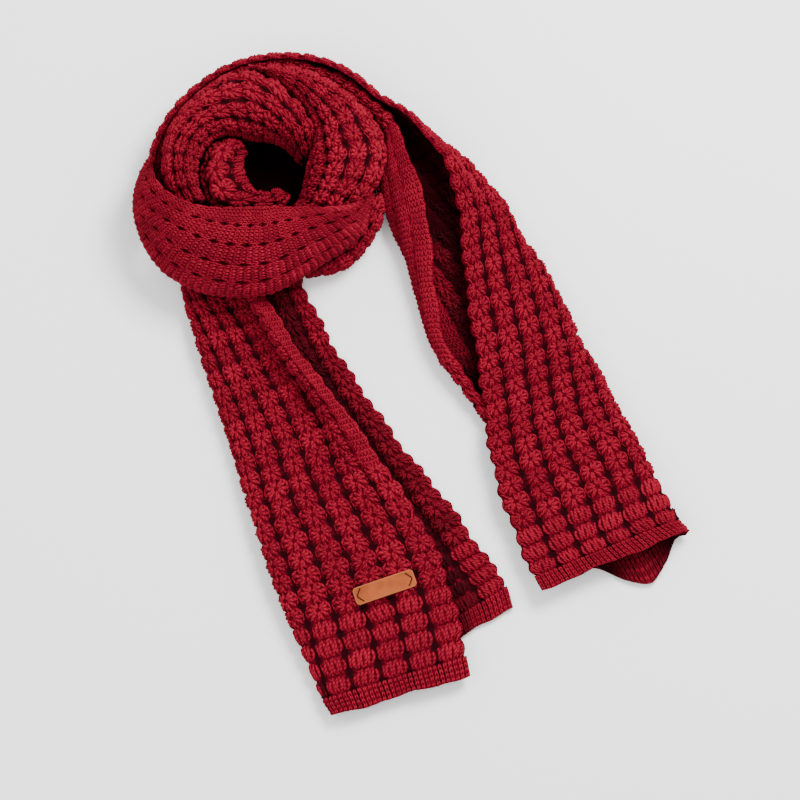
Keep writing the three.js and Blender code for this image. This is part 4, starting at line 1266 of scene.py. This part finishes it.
@dataclass
class Stretch:
    """One stretch of the scarf that shows: its plain cloth and the yarn on it.

    Attributes:
        node: The solid that it stands for.
        cloth: Its surface.
        held: How it is held. Not used.
        rests_on: What it lies on.
        slot: A material slot's name. Not used.
        chart: Which stitch chart it is knitted in: bobble, plain or fine_rib.
        inside: Whether its inner skin shows as well.
        edges: Which of its two edges have a chain of edge stitches, as rib counts from the first.
        pillows: How many rows at its end are broad bobbles.
        seed: The seed of its variation.
    """

    node: str
    cloth: Cloth
    held: str
    rests_on: tuple[str, ...] = ()
    slot: str = "knit"
    chart: str = "bobble"
    inside: bool = False
    edges: tuple[float, ...] = ()
    pillows: int = 0
    seed: int = 1

    def build(self, room: Workroom) -> list[bpy.types.Object]:
        grooves = 1.2 if self.chart == "fine_rib" else 4.0
        outer, inner = self.cloth.skins(grooves)
        lit = self._painted_light_share() if self.inside else np.ones_like(self.cloth.across)
        shell = shell_object(f"cloth_{self.node}", self.cloth, outer, inner, lit)
        shell.data.materials.append(room.stretched_ground if self.cloth.bridged else room.ground)
        yarn = []
        for side in [Side.OUTER, Side.INNER] if self.inside else [Side.OUTER]:
            yarn += self._yarn(room, side)
        for piece in [piece for piece in yarn if not piece.data.vertices]:
            yarn.remove(piece)
            bpy.data.objects.remove(piece)
        for piece in [shell, *yarn]:
            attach(piece, ROOT)
        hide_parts(self.node)
        flat = (self.cloth.shown_width() * MM, self.cloth.length * MM)
        list(self.rests_on)
        return [shell, *yarn]

    def _lattices(self) -> dict[str, Lattice]:
        """Where each of the stretch's charts goes."""
        cloth = self.cloth
        if self.chart == "fine_rib":
            count = round(cloth.ribs * RIB_PITCH / HEM_RIB_PITCH)
            step = cloth.ribs / count
            scale = (1.0, ROW_PITCH / HEM_LENGTH)
            return {"fine_rib": Lattice(count, 1, (step / 2, 0.5), (step, 1.0), scale, 0.0, 0.02, self.seed)}
        turn = 0.22 if self.chart == "bobble" else 0.03
        spread = 0.1 if self.chart == "bobble" else 0.05
        rows = cloth.rows - self.pillows
        scale = (1.02, 1.04) if self.chart == "bobble" else (1.0, 1.0)
        found = {
            self.chart: Lattice(cloth.ribs, rows, scale=scale, turn=turn, spread=spread, seed=self.seed),
        }
        if self.cloth.pulled != (0, 0, 0, 0):
            found["plain"] = Lattice(cloth.ribs, rows, turn=0.02, spread=0.02, seed=self.seed + 9)
        if self.pillows:
            found["pillow"] = Lattice(cloth.ribs, self.pillows, (0.5, rows + 0.5), turn=0.12, seed=self.seed + 5)
        if self.edges:
            first, last = self.edges[0], self.edges[-1]
            found["edge"] = Lattice(
                len(self.edges), cloth.rows, (first, 0.5), (max(last - first, 1.0), 1.0), turn=0.0, spread=0.03,
                seed=self.seed,
            )
        return found

    def _yarn(self, room: Workroom, side: Side) -> list[bpy.types.Object]:
        """Lays the stretch's charts on one of its skins."""
        inner = side is Side.INNER
        shown = self._shown_inside() if inner else self.cloth.shown_outside()
        lit = self._painted_light_share() if inner else np.ones_like(shown)
        flat = self.cloth.pulled_flat()
        made = []
        for chart, lattice in self._lattices().items():
            if chart == self.chart or chart == "pillow":
                wanted = shown * ~flat
            else:
                wanted = shown * flat if chart == "plain" else shown
            helper = self.cloth.mapped(side, wanted, lit)
            name = f"{chart}_yarn_{self.node}" + ("_inside" if inner else "")
            made.append(room.layer.lay(name, self.cloth, helper, room.charts[chart], lattice, room.wool))
            bpy.data.objects.remove(helper)
        return made

    def _painted_light_share(self) -> np.ndarray:
        """The painted shade on the inner skin, as a lit share: 0.1, painted dark deep beside the top leaf's edge, up
        to 1 where it lies open.
        """
        beyond, past_end, _ = self._past_edge()
        depth = np.maximum(self.cloth.points[:, :1, 2] - self.cloth.points[..., 2], 8)
        clear = np.maximum(beyond, past_end * 1.5)
        return 0.1 + 0.9 * smoothstep(-0.25, 1.15, clear / depth)

    def _past_edge(self) -> tuple[np.ndarray, np.ndarray, np.ndarray]:
        """How far each point lies past the top leaf's edge and past its end, and the edge's way."""
        points = self.cloth.points
        edge = points[:, :1]
        ahead = np.gradient(edge[:, 0], axis=0)
        away = np.stack([ahead[:, 1], -ahead[:, 0]], axis=1)
        away /= np.linalg.norm(away, axis=1, keepdims=True)
        inward = points.mean(axis=1) - edge[:, 0]
        away *= -np.sign((away * inward[:, :2]).sum(axis=1))[:, None]
        beyond = ((points - edge)[..., :2] * away[:, None]).sum(axis=-1)
        end = points[-1, round(0.44 * points.shape[1])] - edge[-1, 0]
        out = np.array([end[1], -end[0]]) / np.hypot(end[0], end[1])
        out *= np.sign(out @ ahead[-1, :2])
        return beyond, (points - edge[-1, 0])[..., :2] @ out, ahead

    def _shown_inside(self) -> np.ndarray:
        """1 where the inner skin shows beside the top leaf's edge, and 0 under the leaf."""
        beyond, past_end, _ = self._past_edge()
        upward = -self.cloth.normals[..., 2]
        seen = (beyond > -12) | (past_end > -12)
        return (seen & (upward > -0.2) & (self.cloth.across > 1)).astype(float)


@dataclass
class Core:
    """The hidden layers inside the loop, seen only in the gaps, as cloth painted dark for the shade there.

    Attributes:
        stations: Divisions round the loop.
        floor: Height of the well's floor, in millimetres.
    """

    stations: int = 180
    floor: float = 8.0

    def build(self, room: Workroom) -> bpy.types.Object:
        made = sheet_object("hidden_layers", *self._mesh())
        face_out(made)
        shade_smooth(made)
        made.data.materials.append(self._finish())
        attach(made, ROOT)
        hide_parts("loop_core")
        return made

    def _finish(self) -> bpy.types.Material:
        """Painted shade: red cloth painted dark as in shade, and painted nearly black in the depth of the well."""
        finish = Finish("cloth_in_deep_shade", 1.0)
        here = finish.object_place()
        parts = finish.build.node("ShaderNodeSeparateXYZ", {}, {"Vector": here}).outputs
        x, y, height = (Socket(finish.build, part) for part in parts)
        centre = point(LOOP_CENTRE, 0)
        radius = ((x - centre[0] * MM) ** 2.0 + (y - centre[1] * MM) ** 2.0) ** 0.5
        # Painted shade: near black within the well's radius and low down, dark red cloth in shade outside it.
        outside = radius.band(0.052, 0.07).most(height.band(0.012, 0.06))
        finish.colour(finish.mix(outside, (0.004, 0.0007, 0.0012, 1), (0.09, 0.0025, 0.0075, 1)))
        finish.relief(finish.noise(here, 260.0, 3.0), 0.0015, 0.6)
        return finish.material

    def _mesh(self) -> tuple[np.ndarray, np.ndarray]:
        """Points and faces of a closed turn of sections, from the floor's middle to the well's."""
        places = np.array([loop_section(row) for row in CORE])
        ring = np.concatenate([places[-1:], places, places[:2]])
        lines = Smooth(ring)
        spans = len(places) + 2
        turn = lines.at((1 + np.linspace(0, len(places), self.stations, endpoint=False)) / spans)
        centre = np.array(point(LOOP_CENTRE, 0))
        outer, lip = turn[:, 0], turn[:, 3]
        foot = centre + (outer - centre) * 1.01
        foot[:, 2] = 0
        well = centre + (lip - centre) * 1.03
        well[:, 2] = self.floor
        rows = [foot * 0 + centre, foot]
        section = np.stack([turn[:, i] for i in range(4)], axis=1)
        fine = np.array([evenly(s, 14) for s in section])
        rows += [fine[:, i] for i in range(15)]
        middle = centre + np.array([0, 0, self.floor])
        rows += [well, well * 0 + middle]
        grid = np.array(rows)
        ripple = np.sin(np.linspace(0, 60 * math.pi, self.stations))[None, :, None] * 0.5
        grid[3:-3] += ripple * np.array([0, 0, 1.0])
        count = self.stations
        body = grid[1:-1].reshape(-1, 3)
        points = np.concatenate([body, grid[0, :1], grid[-1, :1]]) * MM
        faces = []
        levels = len(grid) - 2
        for i in range(levels - 1):
            for j in range(count):
                k = (j + 1) % count
                faces.append((i * count + j, i * count + k, (i + 1) * count + k, (i + 1) * count + j))
        low, high = len(body), len(body) + 1
        for j in range(0, count, 2):
            k, m = (j + 1) % count, (j + 2) % count
            top = (levels - 1) * count
            faces.append((low, m, k, j))
            faces.append((high, top + j, top + k, top + m))
        return points, np.array(faces)


@dataclass
class Tag:
    """The blank leather tag, sewn level with the hem at both of its ends.

    Attributes:
        centre: Its middle, on the table.
        turn: Its turn from the X axis, in degrees.
        length: Its length in millimetres.
        width: Its width.
        thickness: Its thickness. Not used.
        corner: The radius of its corners.
    """

    centre: Place = (-25, -200)
    turn: float = 19.0
    length: float = 60.0
    width: float = 17.0
    thickness: float = 2.0
    corner: float = 3.5

    def build(self) -> list[bpy.types.Object]:
        low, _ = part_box("leather_tag")
        self.base = low.z / MM
        leather = self._leather()
        thread = self._stitches()
        for piece in (leather, thread):
            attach(piece, ROOT)
        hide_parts("leather_tag")
        return [leather, thread]

    def _place(self, along: float, across: float, height: float) -> tuple[float, float, float]:
        """A point of the tag, which is bowed a little along its length, in metres."""
        angle = math.radians(self.turn)
        x = self.centre[0] + TO_ORIGIN[0] + along * math.cos(angle) - across * math.sin(angle)
        y = self.centre[1] + TO_ORIGIN[1] + along * math.sin(angle) + across * math.cos(angle)
        bow = 0.9 * math.cos(along / self.length * math.pi) - 0.35 * math.sin(along / self.length * 4)
        return (x * MM, y * MM, (self.base + height + bow) * MM)

    def _outline(self, inset: float, arc_steps: int = 8, side_steps: int = 10) -> list[Place]:
        """The rounded oblong's outline, moved in by inset."""
        half_length, half_width = self.length / 2 - self.corner, self.width / 2 - self.corner
        radius = self.corner - inset
        outline = []
        for sign_x, sign_y, start in ((1, 1, 0), (-1, 1, 90), (-1, -1, 180), (1, -1, 270)):
            for step in range(arc_steps + 1):
                angle = math.radians(start + 90 * step / arc_steps)
                outline.append((
                    sign_x * half_length + radius * math.cos(angle), sign_y * half_width + radius * math.sin(angle),
                ))
            end = outline[-1]
            if start in (0, 180):
                reach = -2 * half_length if start == 0 else 2 * half_length
                outline += [(end[0] + reach * s / side_steps, end[1]) for s in range(1, side_steps)]
        return outline

    def _leather(self) -> bpy.types.Object:
        """The tag's body: rings from the middle of its back, round its edge, to the middle of its face."""
        rings = ((2.8, 0.0), (0.5, 0.0), (0.12, 0.25), (0.0, 0.6), (0.0, 1.3), (0.14, 1.75), (0.5, 2.0), (1.4, 2.0), (2.8, 1.9))
        points: list[tuple[float, float, float]] = []
        flat: list[Place] = []
        for inset, height in rings:
            for along, across in self._outline(inset):
                points.append(self._place(along, across, height))
                flat.append((along, across))
        count = len(self._outline(0))
        faces: list[tuple[int, ...]] = []
        for i in range(len(rings) - 1):
            for j in range(count):
                k = (j + 1) % count
                faces.append((i * count + j, i * count + k, (i + 1) * count + k, (i + 1) * count + j))
        top = (len(rings) - 1) * count
        faces += self._cap(0, count, reverse=True) + self._cap(top, count, reverse=False)
        mesh = bpy.data.meshes.new("leather_tag_piece")
        mesh.from_pydata(points, [], faces)
        layer = mesh.uv_layers.new(name="tag")
        loops = np.empty(len(mesh.loops), np.int32)
        mesh.loops.foreach_get("vertex_index", loops)
        layer.data.foreach_set("uv", np.array(flat)[loops].ravel())
        mesh.materials.append(LeatherFinish().build("tan_leather", self.length, self.width))
        made = bpy.data.objects.new("leather_tag_piece", mesh)
        bpy.context.scene.collection.objects.link(made)
        face_out(made)
        shade_smooth(made)
        return made

    @staticmethod
    def _cap(start: int, count: int, reverse: bool) -> list[tuple[int, ...]]:
        """Four-sided faces across a ring, in strips from its end, closed by one face at each end."""
        half = count // 2
        faces = []
        for i in range(half - 1):
            quad = (start + i, start + i + 1, start + count - 2 - i, start + count - 1 - i)
            faces.append(quad[::-1] if reverse else quad)
        if count % 2:
            faces.append((start + half - 1, start + half, start + half + 1))
        return [face for face in faces if len(set(face)) == len(face)]

    def _stitches(self) -> bpy.types.Object:
        """Dark thread in a slanting pair of rows at each end."""
        chart = []
        for side in (-1, 1):
            for across in (-1, 1):
                for number in range(3):
                    near = (side * (self.length / 2 - 3.0 - number * 1.7), across * (0.5 + number * 2.1))
                    far = (side * (self.length / 2 - 4.1 - number * 1.7), across * (2.0 + number * 2.1))
                    chart.append((near, far))
        return self._threads(chart)

    def _threads(self, chart: Sequence[tuple[Place, Place]]) -> bpy.types.Object:
        """Short round threads over the tag's face."""
        curve = bpy.data.curves.new("tag_stitches", "CURVE")
        curve.dimensions = "3D"
        curve.bevel_depth = 0.5 * MM
        curve.bevel_resolution = 2
        curve.use_fill_caps = True
        for near, far in chart:
            spline = curve.splines.new("POLY")
            middle = between(near, far, 0.5)
            path = [(near, 1.8), (near, 2.25), (middle, 2.4), (far, 2.25), (far, 1.8)]
            spline.points.add(len(path) - 1)
            for target, (place, height) in zip(spline.points, path):
                target.co = (*self._place(*place, height), 1.0)
        carrier = bpy.data.objects.new("thread_curve", curve)
        bpy.context.scene.collection.objects.link(carrier)
        graph = bpy.context.evaluated_depsgraph_get()
        mesh = bpy.data.meshes.new_from_object(carrier.evaluated_get(graph))
        bpy.data.objects.remove(carrier)
        made = bpy.data.objects.new("tag_stitches", mesh)
        bpy.context.scene.collection.objects.link(made)
        mesh.materials.clear()
        mesh.materials.append(PlainFinish((0.02, 0.005, 0.005, 1), 0.7, 2000.0).build("dark_thread"))
        return made


@dataclass
class Studio:
    """The pale floor, the soft lights and the camera.

    Attributes:
        elevation: The camera's height over the table's plane, in degrees.
        distance: Its distance from what it looks at, in metres.
        across: The width of the table that it sees, in metres.
        aim: What it looks at.
    """

    elevation: float = 82.0
    distance: float = 4.0
    across: float = 0.762
    aim: tuple[float, float, float] = (-0.0091, -0.0158, 0.0)

    def build(self) -> None:
        """Makes the floor, lights and camera."""
        self._floor()
        self._world()
        self._light("key", (0.75, 1.0, 1.7), 0.8, 78.0)
        self._light("fill", (-1.4, -0.5, 1.6), 1.6, 16.0)
        data = bpy.data.cameras.new("camera")
        data.lens = data.sensor_width * self.distance / self.across
        data.clip_end = 20.0
        made = bpy.data.objects.new("camera", data)
        angle = math.radians(self.elevation)
        away = Vector((0, -math.cos(angle), math.sin(angle)))
        made.location = Vector(self.aim) + away * self.distance
        made.rotation_euler = away.to_track_quat("Z", "Y").to_euler()
        bpy.context.scene.collection.objects.link(made)
        bpy.context.scene.camera = made

    @staticmethod
    def _floor() -> None:
        """A wide plain floor."""
        half = 3.0
        corners = np.array([(-half, -half, 0), (half, -half, 0), (half, half, 0), (-half, half, 0)], float)
        corners[:, 2] = -0.0003
        floor = sheet_object("floor", corners, np.array([(0, 1, 2, 3)]))
        floor.data.materials.append(PlainFinish((0.95, 0.95, 0.95, 1), 0.9, 300.0, 0.985).build("pale_floor"))

    @staticmethod
    def _world() -> None:
        """An even pale surround."""
        world = bpy.data.worlds.new("surround")
        bpy.context.scene.world = world
        world.use_nodes = True
        world.node_tree.nodes["Background"].inputs["Color"].default_value = (1, 1, 1, 1)
        world.node_tree.nodes["Background"].inputs["Strength"].default_value = 1.45

    def _light(self, name: str, place: tuple[float, float, float], size: float, power: float) -> None:
        """A soft square light that faces the scarf."""
        data = bpy.data.lights.new(name, "AREA")
        data.size = size
        data.energy = power
        made = bpy.data.objects.new(name, data)
        made.location = place
        made.rotation_euler = (Vector(place) - Vector(self.aim)).to_track_quat("Z", "Y").to_euler()
        bpy.context.scene.collection.objects.link(made)


def stretches() -> list[Stretch]:
    """Every stretch of the scarf, from its sections."""
    left = [left_section(row) for row in LEFT_TAIL]
    right = [rim_section(row) for row in RIM] + [right_section(row) for row in RIGHT_TAIL]
    left_length = Cloth(left, 1, 1).length
    right_length = Cloth(right, 1, -1).length
    turn = share_at(right, len(RIM))
    left_hem = 1 - HEM_LENGTH / left_length
    right_hem = 1 - HEM_LENGTH / right_length
    edges = (0.13, RIBS_ACROSS - 0.13)

    def loop(table: Sequence[LoopRow], ribs: int, facing: int) -> Cloth:
        """A stretch of the loop."""
        return Cloth([loop_section(row) for row in table], ribs, facing)

    band = Cloth([loop_section(row) for row in FRONT_BAND], 6, 1, row_pitch=STRETCHED_ROW, bridged=True)

    def tail(
        sections: list[np.ndarray], facing: int, start: float, end: float, pulled: tuple[int, int, int, int],
    ) -> Cloth:
        """A tail, pulled flat in one place."""
        return Cloth(sections, RIBS_ACROSS, facing, start, end, pulled=pulled)

    def hem(sections: list[np.ndarray], facing: int, start: float) -> Cloth:
        """A hem, whose grid is finer along than its one row of stitches."""
        return Cloth(sections, RIBS_ACROSS, facing, start, 1.0, 12, 6, HEM_LENGTH)

    return [
        Stretch("tail_left", tail(left, 1, 0, left_hem + OVERLAP / left_length, (0, 1, 2, 14)), "folded",
                inside=True, edges=edges, pillows=4, seed=11),
        Stretch("hem_left", hem(left, 1, left_hem), "folded", slot="hem_knit", chart="fine_rib", inside=True, seed=12),
        Stretch("tail_right", tail(right, -1, turn, right_hem + OVERLAP / right_length, (10, 13, 0, 15)), "folded",
                inside=True, edges=edges, pillows=3, seed=21),
        Stretch("hem_right", hem(right, -1, right_hem), "folded", slot="hem_knit", chart="fine_rib", inside=True, seed=22),
        Stretch("loop_rim", Cloth(right, 6, -1, 0, turn + OVERLAP / right_length), "gathered",
                inside=True, edges=(0.13, 5.87), seed=31),
        Stretch("loop_front", band, "stretched", ("loop_core",), chart="plain",
                edges=(0.1,), seed=41),
        Stretch("loop_back", loop(BACK_TURN, 6, -1), "gathered", ("loop_core",), seed=51),
        Stretch("loop_right", loop(RIGHT_TURN, 8, 1), "gathered", ("loop_core",), seed=61),
        Stretch("loop_inner", loop(INNER_ROLL, 4, -1), "folded", ("loop_core",), seed=71),
        Stretch("loop_lower", loop(LOWER_FOLD, 3, 1), "folded", ("loop_front",), seed=81),
    ]


def share_at(sections: list[np.ndarray], number: int) -> float:
    """The share of the sections' length that lies before the section of the given number."""
    middle = Smooth(np.array([evenly(s, 300).mean(axis=0) for s in sections])[:, None])
    along, lengths = middle.measure()
    return float(np.interp(number / (len(sections) - 1), along, lengths) / lengths[-1])


def main() -> None:
    """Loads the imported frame, builds every piece round it and reports each."""
    logging.basicConfig(level=logging.INFO, format="%(message)s")
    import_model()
    Studio().build()
    room = Workroom()
    pieces = []
    for stretch in stretches():
        pieces += stretch.build(room)
    pieces.append(Core().build(room))
    pieces += Tag().build()
    room.clear()
    total = 0
    for piece in pieces:
        piece.data.calc_loop_triangles()
        count = len(piece.data.loop_triangles)
        total += count
        LOG.info("%s: %d triangles", piece.name, count)
    LOG.info("all pieces: %d triangles", total)


if __name__ == "__main__":
    main()
